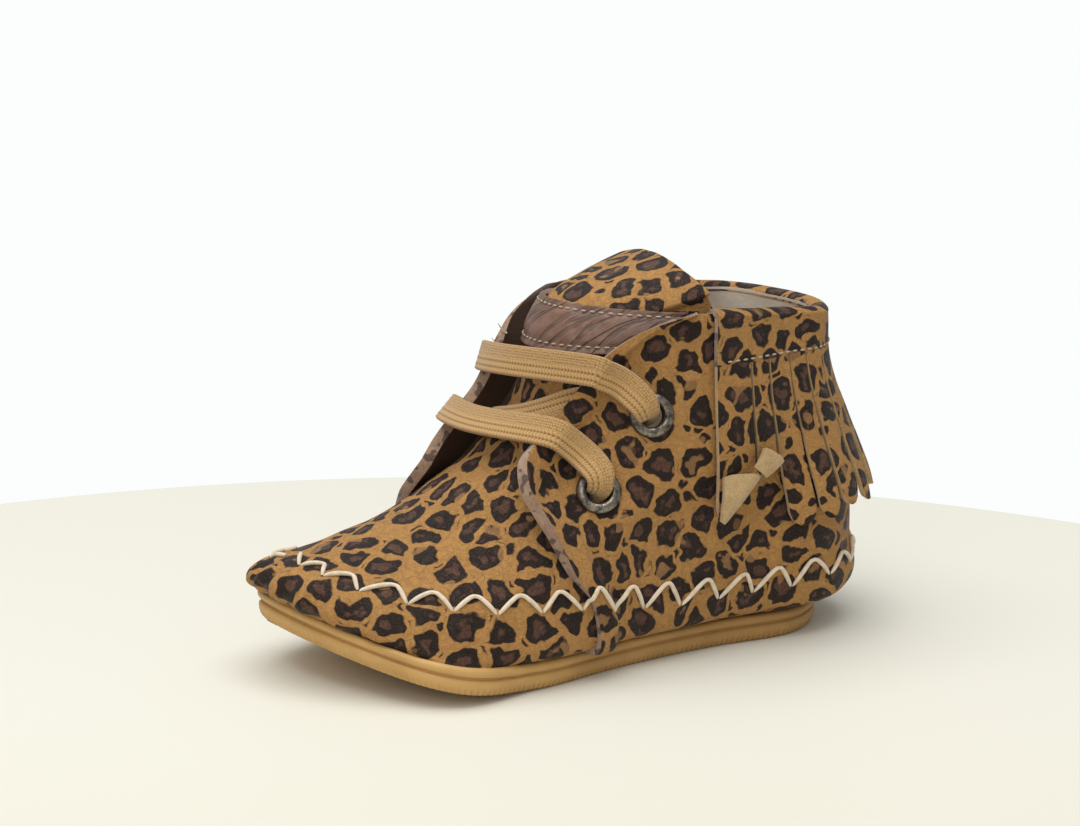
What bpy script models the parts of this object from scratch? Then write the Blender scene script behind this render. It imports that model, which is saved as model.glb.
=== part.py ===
"""Toddler boot for the left foot: moccasin upper, thin rubber sole, fringed collar and flat laces.

The toe points to -Y, the outer side of the foot is +X, and the floor is z = 0. The origin is in the middle
of the heel's flat spot. Every piece is read from one form: rings that run from the heel round to the toe,
stacked from the edge of the sole up to the collar.
"""

import math

import bmesh
import bpy
import numpy as np
from mathutils import Matrix, Vector

MM = 0.001

# Driving sizes of the boot
LENGTH = 136.5 * MM
BALL_WIDTH = 58.0 * MM
BACK_HEIGHT = 71.0 * MM
INSTEP_HEIGHT = 76.0 * MM
CLEAR = 0.3 * MM

# Sole: thickness, how far the toe and the heel curl up, and where each curl starts and ends
SOLE_THICKNESS = 5.5 * MM
TOE_SPRING = 10.5 * MM
TOE_SPRING_START = 0.425
TOE_SPRING_END = 0.791
HEEL_CURL = 1.5 * MM
HEEL_CURL_START = 0.015
HEEL_CURL_END = 0.117
CURL_PAST_END = 1.2
SOLE_STATIONS = 33
SOLE_LIP = 1.1 * MM
LUG_PITCH = 8.0 * MM
LUG_GAP = 2.0 * MM
LUG_DEPTH = 1.2 * MM
LUG_BREADTH = 0.62
LUG_FIRST = -4.0 * MM
LUG_LAST = 0.68
LUG_CORNER = 0.45

INSOLE_THICKNESS = 2.0 * MM
INSOLE_SHY = 0.9 * MM

# Walls of the upper, and how its quarters lie over its vamp
VAMP_WALL = 1.6 * MM
QUARTER_WALL = 2.2 * MM
FLAP_WALL = 1.5 * MM
MARGIN_DEPTH = 0.8 * MM
MARGIN_LIFT = 0.015

# Where, in shares of the way from heel to facing edge, a quarter leaves the vamp and is clear of it
FLAP_JOIN = {1: 0.915, -1: 0.86}
FLAP_CLEAR = {1: 0.95, -1: 0.90}
FLAP_UNDER = {1: 0.85, -1: 0.80}
FLAP_LIFT_POWER = 1.5

TONGUE_WALL = 1.6 * MM
TONGUE_ROOM = 0.4 * MM
TONGUE_BOTTOM = 0.635
TONGUE_SIDE_TOP = 0.99
TONGUE_ARCH = 0.165
TONGUE_ARCH_POWER = 3.0
TONGUE_UNDER = 0.84
TONGUE_ROWS = 11

STRAP_THICKNESS = 1.2 * MM
STRAP_LOW = 0.885
STRAP_HIGH = 0.985
STRAP_UNDER = {1: 0.965, -1: 0.945}
STRAP_ROWS = 4
STRAP_COLUMNS = 18

FRINGE_THICKNESS = 1.3 * MM
FRINGE_FRONT = 0.166
FRINGE_SEAT = 0.5 * MM
BAND_BOTTOM = 0.856
SLIT = 0.5 * MM
STRIP_STAND_OFF = 3.5 * MM
STRIP_BEND_POWER = 1.5

EYELET_HOLE = 5.0 * MM
EYELET_TUBE = 0.4 * MM
EYELET_FLANGE = 9.3 * MM
EYELET_RIM = 0.9 * MM
EYELET_STEPS = 16

LACE_WIDTH = 6.2 * MM
LACE_THICKNESS = 1.2 * MM
LACE_SAMPLES = 22
LACE_SEAT = 1.3 * MM
LACE_SPAN = 4.5 * MM

# Sections of the form. Columns: level, back (share of LENGTH), back rise (share of the way from sole to
# BACK_HEIGHT), front (share of LENGTH), front rise (share of the way from sole to INSTEP_HEIGHT), share of
# the sole's curl that the section follows, then half breadths (shares of BALL_WIDTH) at BREADTH_AT
RINGS = np.array([
    [0.00, -0.103, 0.000, 0.795, 0.000, 1.00, 0.57, 0.276, 0.362, 0.353, 0.452, 0.448, 0.52],
    [0.10, -0.175, 0.037, 0.824, 0.031, 0.95, 0.62, 0.328, 0.414, 0.414, 0.500, 0.428, 0.57],
    [0.22, -0.168, 0.195, 0.801, 0.130, 0.80, 0.64, 0.345, 0.431, 0.422, 0.491, 0.397, 0.55],
    [0.38, -0.162, 0.388, 0.711, 0.252, 0.50, 0.62, 0.336, 0.414, 0.414, 0.448, 0.336, 0.48],
    [0.55, -0.138, 0.581, 0.575, 0.392, 0.20, 0.57, 0.305, 0.380, 0.418, 0.414, 0.302, 0.45],
    [0.75, -0.104, 0.786, 0.436, 0.638, 0.00, 0.53, 0.285, 0.368, 0.405, 0.388, 0.276, 0.41],
    [1.00, -0.092, 1.000, 0.344, 1.000, 0.00, 0.53, 0.276, 0.335, 0.380, 0.388, 0.276, 0.41],
    [1.20, -0.088, 1.180, 0.165, 1.135, 0.00, 0.53, 0.276, 0.335, 0.380, 0.388, 0.276, 0.41],
])
BREADTH_AT = np.array([0.0, 0.08, 0.25, 0.45, 0.65, 0.85, 1.0])
# How far the middle of each section bends to the side, in shares of BALL_WIDTH, at BREADTH_AT
BEND = np.array([0.0, 0.0, -0.052, 0.014, 0.021, 0.017, -0.164])
BEND_FADES_AT = 0.6

# Front edge of each quarter. Columns: level, share of the section on the outer side, and on the inner side
QUARTER_EDGE = np.array([
    [0.00, 0.555, 0.600],
    [0.12, 0.560, 0.620],
    [0.23, 0.582, 0.680],
    [0.32, 0.639, 0.770],
    [0.45, 0.730, 0.870],
    [0.52, 0.795, 0.935],
    [0.58, 0.850, 0.965],
    [0.66, 0.900, 0.963],
    [0.80, 0.903, 0.955],
    [0.89, 0.847, 0.945],
    [0.945, 0.775, 0.900],
    [1.00, 0.660, 0.780],
    [1.20, 0.660, 0.780],
])
# How far the free edge stands off. Columns: level, outer side and inner side in shares of QUARTER_STAND_OFF
QUARTER_STAND_OFF = 5.5 * MM
STAND_OFF = np.array([
    [0.00, 0.00, 0.00],
    [0.48, 0.00, 0.00],
    [0.56, 0.05, 0.30],
    [0.66, 0.10, 0.80],
    [0.76, 0.06, 0.85],
    [0.90, 0.04, 0.45],
    [1.00, 0.02, 0.10],
    [1.20, 0.02, 0.10],
])
LEVELS = [0.0, 0.04, 0.10, 0.16, 0.22, 0.30, 0.38, 0.45, 0.51, 0.57, 0.62, 0.665]
UPPER_LEVELS = [0.71, 0.76, 0.82, 0.87, 0.91, 0.945, 0.975, 1.0]
FLAP_COLUMNS = 4
HEEL_COLUMNS = 11
VAMP_COLUMNS = 8

# Small steps in level and in turn, over which the form's slopes are read
LEVEL_STEP = 0.002
TURN_STEP = 0.01

# Side of the sole from the floor up. Columns: reach past the edge of the upper (share of SOLE_LIP), height
# (share of SOLE_THICKNESS)
SOLE_SIDE = [
    (-0.90, 0.00),
    (-0.20, 0.06),
    (0.50, 0.20),
    (0.80, 0.44),
    (0.62, 0.60),
    (0.12, 0.65),
    (0.12, 0.70),
    (0.90, 0.76),
    (1.00, 0.88),
    (0.55, 1.00),
]

# Strips of the fringe on one side, from the front to the middle of the heel. Columns: breadth (share of the
# way from the front edge to the heel), level of the end
STRIPS = [
    (0.152, 0.385),
    (0.090, 0.455),
    (0.115, 0.335),
    (0.095, 0.345),
    (0.110, 0.360),
    (0.110, 0.345),
    (0.110, 0.360),
    (0.110, 0.335),
    (0.108, 0.350),
]
# Outline of a strip below the band. Columns: share of its length, share of its breadth
STRIP_OUTLINE = [(0.12, 1.0), (0.3, 1.0), (0.5, 1.0), (0.7, 1.0), (0.86, 0.97), (0.95, 0.82), (1.0, 0.5)]
BAND_LEVELS = [0.992, 0.95, 0.90, 0.856]

# Eyelets on each side: level and share of the section
EYELETS = {"upper": (0.752, 0.684), "lower": (0.578, 0.713)}
# Section of an eyelet's rim, in shares of EYELET_RIM: past the bore or past the flange's edge, and height
RIM_INSIDE = [(0.0, 0.7), (0.3, 1.0)]
RIM_OUTSIDE = [(-0.6, 0.8), (0.0, 0.2), (0.0, 0.0)]

# Routes of the bars between their eyelets. Columns: side (0 is the middle of the span), level, share of the
# section
LACE_BARS = {
    "upper": [
        (1, 0.800, 0.745), (1, 0.832, 0.800), (1, 0.848, 0.850), (1, 0.856, 0.880),
        (0, 0.850, 1.000),
        (-1, 0.832, 0.950), (-1, 0.818, 0.900), (-1, 0.790, 0.800),
    ],
    "lower": [
        (1, 0.635, 0.757), (1, 0.675, 0.810), (1, 0.703, 0.865), (1, 0.716, 0.905),
        (0, 0.712, 1.000),
        (-1, 0.695, 0.960), (-1, 0.680, 0.905), (-1, 0.640, 0.800),
    ],
}
# How far in front of its eyelet's middle a bar ends: level, share of the section
BAR_END = (0.008, 0.012)
# Route of the crossing that lies on the tongue, from the inner side up to the outer side
CROSSING = [
    (-1, 0.715, 0.945), (-1, 0.728, 0.975), (-1, 0.738, 0.993), (1, 0.750, 0.999),
    (1, 0.760, 0.982), (1, 0.775, 0.945), (1, 0.790, 0.900),
]

COLOURS = {
    "leopard_suede": (0.55, 0.30, 0.12),
    "sole_rubber": (0.50, 0.31, 0.12),
    "lining": (0.60, 0.52, 0.42),
    "strap_leather": (0.20, 0.10, 0.07),
    "eyelet_metal": (0.32, 0.29, 0.24),
    "lace_cotton": (0.58, 0.38, 0.18),
}


def read_table(stations, rows, at):
    """The table's rows at any station: cubic pieces that take their slopes from the rows on each side."""
    stations = np.asarray(stations, float)
    rows = np.asarray(rows, float)
    at = np.clip(np.asarray(at, float), stations[0], stations[-1])
    slopes = np.gradient(rows, stations, axis=0)
    low = np.clip(np.searchsorted(stations, at, side="right") - 1, 0, len(stations) - 2)
    step = stations[low + 1] - stations[low]
    way = (at - stations[low]) / step
    if rows.ndim > 1:
        way = way[..., None]
        step = step[..., None]
    ends = (2 * way**3 - 3 * way**2 + 1) * rows[low] + (3 * way**2 - 2 * way**3) * rows[low + 1]
    lean = (way**3 - 2 * way**2 + way) * slopes[low] + (way**3 - way**2) * slopes[low + 1]
    return ends + step * lean


def between(at, start, end):
    """0 before start, 1 after end, and an even ease between them."""
    way = np.clip((at - start) / (end - start), 0, 1)
    return way * way * (3 - 2 * way)


def turn_of(share):
    """The angle round a section, from 0 at the heel to pi at the front, at a share of its length."""
    return np.arccos(1 - 2 * np.clip(share, 0, 1))


def share_of(turn):
    return (1 - np.cos(turn)) / 2


def curl(forward):
    """How far the sole curls up from the floor at a distance in front of the heel's flat spot."""
    toe = (forward / LENGTH - TOE_SPRING_START) / (TOE_SPRING_END - TOE_SPRING_START)
    heel = (-forward / LENGTH - HEEL_CURL_START) / (HEEL_CURL_END - HEEL_CURL_START)
    return TOE_SPRING * np.clip(toe, 0, CURL_PAST_END) ** 2 + HEEL_CURL * np.clip(heel, 0, CURL_PAST_END) ** 2


def form(level, turn):
    """Points of the boot's form, as an array that ends in x, y, z."""
    level, turn = np.broadcast_arrays(np.asarray(level, float), np.asarray(turn, float))
    share = share_of(turn)
    row = read_table(RINGS[:, 0], RINGS[:, 1:], level)
    back = row[..., 0] * LENGTH
    forward = back + (row[..., 2] * LENGTH - back) * share
    base = SOLE_THICKNESS + CLEAR
    rise = row[..., 1] * (BACK_HEIGHT - base) * (1 - share) + row[..., 3] * (INSTEP_HEIGHT - base) * share
    swell = np.sin(turn_of(BREADTH_AT))
    swell[0] = 1
    swell[-1] = 1
    picks = read_table(BREADTH_AT, np.eye(len(BREADTH_AT)), share)
    breadth = (row[..., 5:] / swell * picks).sum(axis=-1) * np.sin(turn)
    bend = (BEND * picks).sum(axis=-1) * np.clip(1 - level / BEND_FADES_AT, 0, 1)
    height = base + rise + row[..., 4] * curl(forward)
    return np.stack([(bend + breadth) * BALL_WIDTH, -forward, height], axis=-1)


def outward(level, turn):
    """The form's unit normals, which point away from the foot."""
    along = form(level, turn + LEVEL_STEP) - form(level, turn - LEVEL_STEP)
    below = np.maximum(np.asarray(level) - LEVEL_STEP, 0)
    up = form(np.asarray(level) + LEVEL_STEP, turn) - form(below, turn)
    normal = np.cross(up, along)
    return normal / np.linalg.norm(normal, axis=-1, keepdims=True)


def lifted(level, turn, lift):
    """Points at a height off the form, kept clear of the top of the sole."""
    points = form(level, turn) + outward(level, turn) * np.asarray(lift)[..., None]
    floor = SOLE_THICKNESS + CLEAR + curl(-points[..., 1])
    points[..., 2] = np.maximum(points[..., 2], floor)
    return points


def edge_share(level, side):
    """The share of a section where the quarter ends on one side."""
    return read_table(QUARTER_EDGE[:, 0], QUARTER_EDGE[:, 1 if side > 0 else 2], level)


def flap_ease(along, side):
    """0 where the quarter is the only wall, 1 where it lies over the vamp or the tongue."""
    return between(along, FLAP_JOIN[side], FLAP_CLEAR[side])


def quarter_walls(level, along, side):
    """Heights of the quarter's inner and outer faces; along is the share of the way to its front edge."""
    ease = flap_ease(along, side)
    rise = np.clip((along - FLAP_JOIN[side]) / (1 - FLAP_JOIN[side]), 0, 1) ** FLAP_LIFT_POWER
    stand = read_table(STAND_OFF[:, 0], STAND_OFF[:, 1 if side > 0 else 2], level) * QUARTER_STAND_OFF
    inner = -QUARTER_WALL + (QUARTER_WALL + CLEAR) * ease + stand * rise
    return inner, inner + QUARTER_WALL + (FLAP_WALL - QUARTER_WALL) * ease


def vamp_walls(along, side):
    """Heights of the vamp's inner and outer faces; its margins are skived where the quarters cover them."""
    ease = flap_ease(along, side)
    outer = -MARGIN_DEPTH * (1 - ease)
    return np.full_like(outer, -VAMP_WALL), outer


def tongue_height(along, side):
    """Height of the tongue's outer face, below the vamp and the quarters."""
    ease = flap_ease(along, side)
    return -(QUARTER_WALL + TONGUE_ROOM) * (1 - ease) - (VAMP_WALL + CLEAR) * ease


def on_tongue(gap):
    """Height of a piece that lies on the middle of the tongue with this gap under it."""
    return gap - VAMP_WALL - CLEAR


def spread(start, end, count):
    return list(np.linspace(start, end, count))


def quarter_columns(side):
    """Shares of the way from the heel to the facing edge, close together where the flap begins."""
    join, free = FLAP_JOIN[side], FLAP_CLEAR[side]
    heel = spread(0, FLAP_UNDER[side], HEEL_COLUMNS)
    return heel + spread(join, free, FLAP_COLUMNS) + spread(free, 1, 3)[1:]


def vamp_margin_columns(side, start):
    join, free = FLAP_JOIN[side], FLAP_CLEAR[side]
    return [start, join] + spread(join, free, FLAP_COLUMNS)[1:] + [1.0]


def column_turns(level, side, alongs):
    """Turns at shares of the way to the facing edge: evenly spaced round the heel, then even in share."""
    edge = float(edge_share(level, side))
    under = FLAP_UNDER[side]
    turns = []
    for along in alongs:
        round_heel = along / under * float(turn_of(under * edge))
        turns.append(round_heel if along <= under else float(turn_of(along * edge)))
    return turns


def wall_mesh(outer, inner, keep=None):
    """A closed wall between two grids of points, with rims along the open edges of the kept cells."""
    rows, columns = outer.shape[:2]
    if keep is None:
        keep = np.ones((rows - 1, columns - 1), bool)
    faces = []
    count = rows * columns

    def corner(row, column):
        return row * columns + column

    def kept(row, column):
        return 0 <= row < rows - 1 and 0 <= column < columns - 1 and keep[row, column]

    for row in range(rows - 1):
        for column in range(columns - 1):
            if not keep[row, column]:
                continue
            ring = [corner(row, column), corner(row, column + 1)]
            ring += [corner(row + 1, column + 1), corner(row + 1, column)]
            faces.append(ring[::-1])
            faces.append([index + count for index in ring])
            beside = [(row - 1, column), (row, column + 1), (row + 1, column), (row, column - 1)]
            for (start, end), cell in zip(zip(ring, ring[1:] + ring[:1]), beside):
                if not kept(*cell):
                    faces.append([start, end, end + count, start + count])
    return np.concatenate([outer.reshape(-1, 3), inner.reshape(-1, 3)]), faces


def new_mesh_object(name, points, faces, collection, material=None):
    mesh = bpy.data.meshes.new(name)
    mesh.from_pydata([tuple(point) for point in points], [], faces)
    tidy = bmesh.new()
    tidy.from_mesh(mesh)
    loose = [vertex for vertex in tidy.verts if not vertex.link_faces]
    bmesh.ops.delete(tidy, geom=loose, context="VERTS")
    bmesh.ops.recalc_face_normals(tidy, faces=tidy.faces)
    tidy.to_mesh(mesh)
    tidy.free()
    made = bpy.data.objects.new(name, mesh)
    collection.objects.link(made)
    if material:
        mesh.materials.append(material)
    return made


def new_material(name, roughness, metallic=0.0):
    material = bpy.data.materials.new(name)
    material.use_nodes = True
    shader = material.node_tree.nodes["Principled BSDF"]
    shader.inputs["Base Color"].default_value = (*COLOURS[name], 1.0)
    shader.inputs["Roughness"].default_value = roughness
    shader.inputs["Metallic"].default_value = metallic
    material.diffuse_color = (*COLOURS[name], 1.0)
    return material


def add_boolean(target, cutter, operation):
    cutter.hide_render = True
    cutter.display_type = "WIRE"
    modifier = target.modifiers.new(f"{operation.lower()}_{cutter.name}", "BOOLEAN")
    modifier.operation = operation
    modifier.object = cutter
    modifier.solver = "EXACT"


def thicken(target, thickness, offset):
    modifier = target.modifiers.new("thickness", "SOLIDIFY")
    modifier.thickness = thickness
    modifier.offset = offset
    modifier.use_rim = True


def grid_faces(rows, columns, keep=None):
    faces = []
    for row in range(rows - 1):
        for column in range(columns - 1):
            if keep is None or keep[row][column]:
                first = row * columns + column
                faces.append([first, first + columns, first + columns + 1, first + 1])
    return faces


def sole_outline(reach):
    """Closed outline of the sole seen from above, as (forward, x) rows, at a reach past the upper's edge."""
    turns = np.linspace(0, 2 * math.pi, 2 * SOLE_STATIONS, endpoint=False)
    points = form(0.0, turns)
    ahead = form(0.0, turns + TURN_STEP) - form(0.0, turns - TURN_STEP)
    normal = np.stack([-ahead[:, 1], ahead[:, 0]], axis=-1)
    normal /= np.linalg.norm(normal, axis=-1, keepdims=True)
    return points[:, 0] + normal[:, 0] * reach, -(points[:, 1] + normal[:, 1] * reach)


def stack_of_outlines(name, outlines, collection, material):
    """A closed solid through outlines of equal counts, flat across the foot at each station."""
    count = 2 * SOLE_STATIONS
    points = np.concatenate(outlines)
    faces = []
    for layer in range(len(outlines) - 1):
        for index in range(count):
            after = (index + 1) % count
            low, high = layer * count, (layer + 1) * count
            faces.append([low + index, low + after, high + after, high + index])
    for layer in (0, len(outlines) - 1):
        first = layer * count
        for index in range(1, SOLE_STATIONS - 1):
            across = (first + count - index, first + count - index - 1)
            faces.append([first + index, first + index + 1, across[1], across[0]])
        faces.append([first, first + 1, first + count - 1])
        middle = first + SOLE_STATIONS
        faces.append([middle - 1, middle, middle + 1])
    return new_mesh_object(name, points, faces, collection, material)


def make_outsole(parts, cutters, material):
    outlines = []
    for reach, height in SOLE_SIDE:
        x, forward = sole_outline(reach * SOLE_LIP)
        z = curl(forward) + height * SOLE_THICKNESS
        outlines.append(np.stack([x, -forward, z], axis=-1))
    sole = stack_of_outlines("outsole", outlines, parts, material)
    add_boolean(sole, make_lug_cutter(cutters), "DIFFERENCE")
    return sole


def make_lug_cutter(cutters):
    """Slots across the underside, which leave the lugs between them and an unbroken rim round them."""
    x, forward = sole_outline(0.0)
    half = SOLE_STATIONS
    cutter = bmesh.new()
    count = int((LUG_LAST * LENGTH - LUG_FIRST) / LUG_PITCH) + 1
    for number in range(count):
        place = LUG_FIRST + number * LUG_PITCH
        outer = np.interp(place, forward[:half + 1], x[:half + 1])
        inner = np.interp(place, forward[half:][::-1], x[half:][::-1])
        made = bmesh.ops.create_cube(cutter, size=1.0)
        upright = {edge for vertex in made["verts"] for edge in vertex.link_edges
                   if abs(edge.verts[0].co.z - edge.verts[1].co.z) > 0.5}
        size = Vector(((outer - inner) * LUG_BREADTH, LUG_GAP, 2 * LUG_DEPTH))
        bmesh.ops.scale(cutter, vec=size, verts=made["verts"])
        slope = math.atan2(float(curl(place + LUG_GAP) - curl(place - LUG_GAP)), 2 * LUG_GAP)
        seat = Matrix.Translation(((outer + inner) / 2, -place, float(curl(place))))
        bmesh.ops.transform(cutter, matrix=seat @ Matrix.Rotation(-slope, 4, "X"), verts=made["verts"])
        bmesh.ops.bevel(cutter, geom=list(upright), offset=LUG_CORNER * LUG_GAP, segments=3, profile=0.5,
                        affect="EDGES")
    bmesh.ops.recalc_face_normals(cutter, faces=cutter.faces)
    mesh = bpy.data.meshes.new("lug_slots")
    cutter.to_mesh(mesh)
    cutter.free()
    made = bpy.data.objects.new("lug_slots", mesh)
    cutters.objects.link(made)
    return made


def make_insole(parts, material):
    x, forward = sole_outline(-(QUARTER_WALL + CLEAR + INSOLE_SHY))
    outlines = []
    for height in (0, INSOLE_THICKNESS):
        z = SOLE_THICKNESS + CLEAR + curl(forward) + height
        outlines.append(np.stack([x, -forward, z], axis=-1))
    return stack_of_outlines("insole", outlines, parts, material)


def make_upper(parts, cutters, material):
    """The quarters as one wall round the heel, the vamp as one wall round the toe, and their join."""
    inner_side = quarter_columns(-1)
    outer_side = quarter_columns(1)
    outer, inner = [], []
    for level in LEVELS + UPPER_LEVELS:
        turns = [-turn for turn in column_turns(level, -1, inner_side)][::-1]
        turns += column_turns(level, 1, outer_side)[1:]
        walls = [quarter_walls(level, along, -1) for along in inner_side][::-1]
        walls += [quarter_walls(level, along, 1) for along in outer_side][1:]
        walls = np.array(walls, float)
        inner.append(lifted(level, np.array(turns), walls[:, 0]))
        outer.append(lifted(level, np.array(turns), walls[:, 1]))
    upper = new_mesh_object("upper", *wall_mesh(np.array(outer), np.array(inner)), parts, material)
    add_boolean(upper, make_vamp(cutters), "UNION")
    add_boolean(upper, make_eyelet_holes(cutters), "DIFFERENCE")
    return upper


def front_turns(level, alongs, columns):
    """Turns from margin to margin over the front, how far along its quarter each one is, and its side."""
    turns, places, sides = [], [], []
    for side in (1, -1):
        edge = float(edge_share(level, side))
        margin = [float(turn_of(along * edge)) for along in alongs[side]]
        rest = spread(margin[-1], math.pi, columns)[1:]
        one = margin + (rest if side > 0 else rest[:-1])
        if side < 0:
            one = [2 * math.pi - turn for turn in one][::-1]
        turns += one
        places += [float(share_of(turn)) / edge for turn in one]
        sides += [side] * len(one)
    return np.array(turns), np.array(places), np.array(sides)


def make_vamp(cutters):
    outer, inner = [], []
    alongs = {side: vamp_margin_columns(side, FLAP_UNDER[side]) for side in (1, -1)}
    for level in LEVELS:
        turns, places, sides = front_turns(level, alongs, VAMP_COLUMNS)
        walls = np.array([vamp_walls(np.array(place), side) for place, side in zip(places, sides)])
        covered = np.array([place < FLAP_JOIN[side] + 1e-6 for place, side in zip(places, sides)])
        at = np.where(covered, max(level, MARGIN_LIFT), level)
        inner.append(lifted(at, turns, walls[:, 0]))
        outer.append(lifted(at, turns, walls[:, 1]))
    return new_mesh_object("vamp", *wall_mesh(np.array(outer), np.array(inner)), cutters)


def make_tongue(parts, material):
    """A curved sheet under the vamp and both quarters, with an arched top."""
    alongs = {}
    for side in (1, -1):
        alongs[side] = [TONGUE_UNDER * FLAP_JOIN[side], FLAP_JOIN[side], FLAP_CLEAR[side], 1.0]
    points = []
    for way in spread(0, 1, TONGUE_ROWS):
        flat = TONGUE_BOTTOM + (TONGUE_SIDE_TOP - TONGUE_BOTTOM) * way
        turns, places, sides = front_turns(flat, alongs, VAMP_COLUMNS)
        across = (turns - math.pi) / np.where(turns < math.pi, math.pi - turns[0], turns[-1] - math.pi)
        arch = TONGUE_ARCH * (1 - np.abs(across) ** TONGUE_ARCH_POWER)
        level = flat + arch * way
        lift = np.array([float(tongue_height(np.array(place), side)) for place, side in zip(places, sides)])
        points.append(lifted(level, turns, lift))
    points = np.array(points)
    faces = grid_faces(*points.shape[:2])
    tongue = new_mesh_object("tongue", points.reshape(-1, 3), faces, parts, material)
    face_out(tongue)
    thicken(tongue, TONGUE_WALL, -1.0)
    return tongue


def face_out(sheet):
    """Turns an open sheet's faces away from the middle of the boot."""
    mesh = sheet.data
    middle = Vector((0.0, -0.3 * LENGTH, 0.4 * BACK_HEIGHT))
    lean = sum((face.center - middle).dot(face.normal) * face.area for face in mesh.polygons)
    if lean < 0:
        mesh.flip_normals()


def make_strap(parts, material):
    """The leather strap across the tongue, which runs under both facings."""
    points = []
    for level in spread(STRAP_LOW, STRAP_HIGH, STRAP_ROWS):
        start = turn_of(STRAP_UNDER[1] * edge_share(level, 1))
        end = 2 * math.pi - turn_of(STRAP_UNDER[-1] * edge_share(level, -1))
        turns = np.linspace(start, end, STRAP_COLUMNS)
        points.append(lifted(level, turns, np.full(turns.shape, on_tongue(CLEAR))))
    points = np.array(points)
    faces = grid_faces(*points.shape[:2])
    strap = new_mesh_object("tongue_strap", points.reshape(-1, 3), faces, parts, material)
    face_out(strap)
    thicken(strap, STRAP_THICKNESS, 1.0)
    return strap


def fringe_ratio(level):
    """How much narrower in turn the fringe is at a level, so that its front edge hangs straight down."""
    row = read_table(RINGS[:, 0], RINGS[:, 1:], np.array([level, BAND_BOTTOM]))
    shares = (FRINGE_FRONT - row[:, 0]) / (row[:, 2] - row[:, 0])
    return turn_of(shares[0]) / turn_of(shares[1])


def make_fringe_collar(parts, material):
    """A band round the collar with strips cut from it below, as one sheet."""
    collar = read_table(RINGS[:, 0], RINGS[:, 1:], 1.0)
    front = float(turn_of((FRINGE_FRONT - collar[0]) / (collar[2] - collar[0]))) / fringe_ratio(1.0)
    slit = SLIT / (0.5 * BALL_WIDTH) / front
    total = sum(breadth for breadth, _ in STRIPS)
    spans, start = [], 0.0
    for breadth, end in STRIPS:
        spans.append((start / total + slit / 2, (start + breadth) / total - slit / 2, end))
        start += breadth
    spans[0] = (0.0, *spans[0][1:])
    strips = [(front * (1 - a), front * (1 - b), end) for a, b, end in spans]
    strips += [(-b, -a, end) for a, b, end in reversed(strips)]
    levels = BAND_LEVELS + [BAND_BOTTOM] * len(STRIP_OUTLINE)
    columns = 3 * len(strips)
    points = np.zeros((len(levels), columns, 3))
    keep = np.ones((len(levels) - 1, columns - 1), bool)
    for number, (start, end, last) in enumerate(strips):
        for row in range(len(levels)):
            below = row - len(BAND_LEVELS)
            way, narrow = STRIP_OUTLINE[below] if below >= 0 else (0.0, 1.0)
            level = BAND_BOTTOM + (last - BAND_BOTTOM) * way if below >= 0 else BAND_LEVELS[row]
            middle, half = (start + end) / 2, (start - end) / 2 * narrow
            turns = np.array([middle + half, middle, middle - half]) * fringe_ratio(level)
            stand = STRIP_STAND_OFF * way**STRIP_BEND_POWER * max(math.cos(middle), 0) ** 2
            lift = np.full(3, FRINGE_SEAT + stand)
            points[row, 3 * number:3 * number + 3] = lifted(level, turns, lift)
    keep[len(BAND_LEVELS) - 1:, 2::3] = False
    faces = grid_faces(len(levels), columns, keep)
    fringe = new_mesh_object("fringe_collar", points.reshape(-1, 3), faces, parts, material)
    face_out(fringe)
    thicken(fringe, FRINGE_THICKNESS, 1.0)
    return fringe


def eyelet_seats():
    """Name, place and frame of each eyelet: local +Z points away from the foot."""
    seats = []
    for side, word in ((1, "outer"), (-1, "inner")):
        for name, (level, share) in EYELETS.items():
            turn = side * float(turn_of(share))
            along = share / float(edge_share(level, side))
            lift = float(quarter_walls(level, np.array(along), side)[1])
            place = Vector(lifted(level, np.array(turn), np.array(lift)))
            normal = Vector(outward(level, np.array(turn)))
            facing = normal.to_track_quat("Z", "Y").to_matrix().to_4x4()
            seats.append((f"eyelet_{word}_{name}", Matrix.Translation(place) @ facing))
    return seats


def make_eyelets(parts, material):
    bore = EYELET_HOLE / 2
    tube = bore + EYELET_TUBE
    flange = EYELET_FLANGE / 2
    profile = [(bore, CLEAR - QUARTER_WALL)]
    for edge, section in ((bore, RIM_INSIDE), (flange, RIM_OUTSIDE)):
        profile += [(edge + out * EYELET_RIM, CLEAR + up * EYELET_RIM) for out, up in section]
    profile += [(tube, CLEAR), (tube, CLEAR - QUARTER_WALL)]
    for name, seat in eyelet_seats():
        mesh = bpy.data.meshes.new(name)
        points = [(radius, 0.0, height) for radius, height in profile]
        ring = [(index, (index + 1) % len(profile)) for index in range(len(profile))]
        mesh.from_pydata(points, ring, [])
        eyelet = bpy.data.objects.new(name, mesh)
        parts.objects.link(eyelet)
        mesh.materials.append(material)
        eyelet.matrix_world = seat
        turn = eyelet.modifiers.new("turned", "SCREW")
        turn.steps = EYELET_STEPS
        turn.render_steps = EYELET_STEPS
        turn.use_merge_vertices = True
        turn.merge_threshold = 1e-6
        turn.use_normal_calculate = True


def make_eyelet_holes(cutters):
    """One cutter with a round bar through the quarter at every eyelet."""
    radius = EYELET_HOLE / 2 + EYELET_TUBE + CLEAR
    drill = bmesh.new()
    for _, seat in eyelet_seats():
        bar = bmesh.ops.create_cone(drill, cap_ends=True, segments=EYELET_STEPS, radius1=radius,
                                    radius2=radius, depth=4 * QUARTER_WALL)
        bmesh.ops.transform(drill, matrix=seat, verts=bar["verts"])
    mesh = bpy.data.meshes.new("eyelet_holes")
    drill.to_mesh(mesh)
    drill.free()
    made = bpy.data.objects.new("eyelet_holes", mesh)
    cutters.objects.link(made)
    return made


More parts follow.
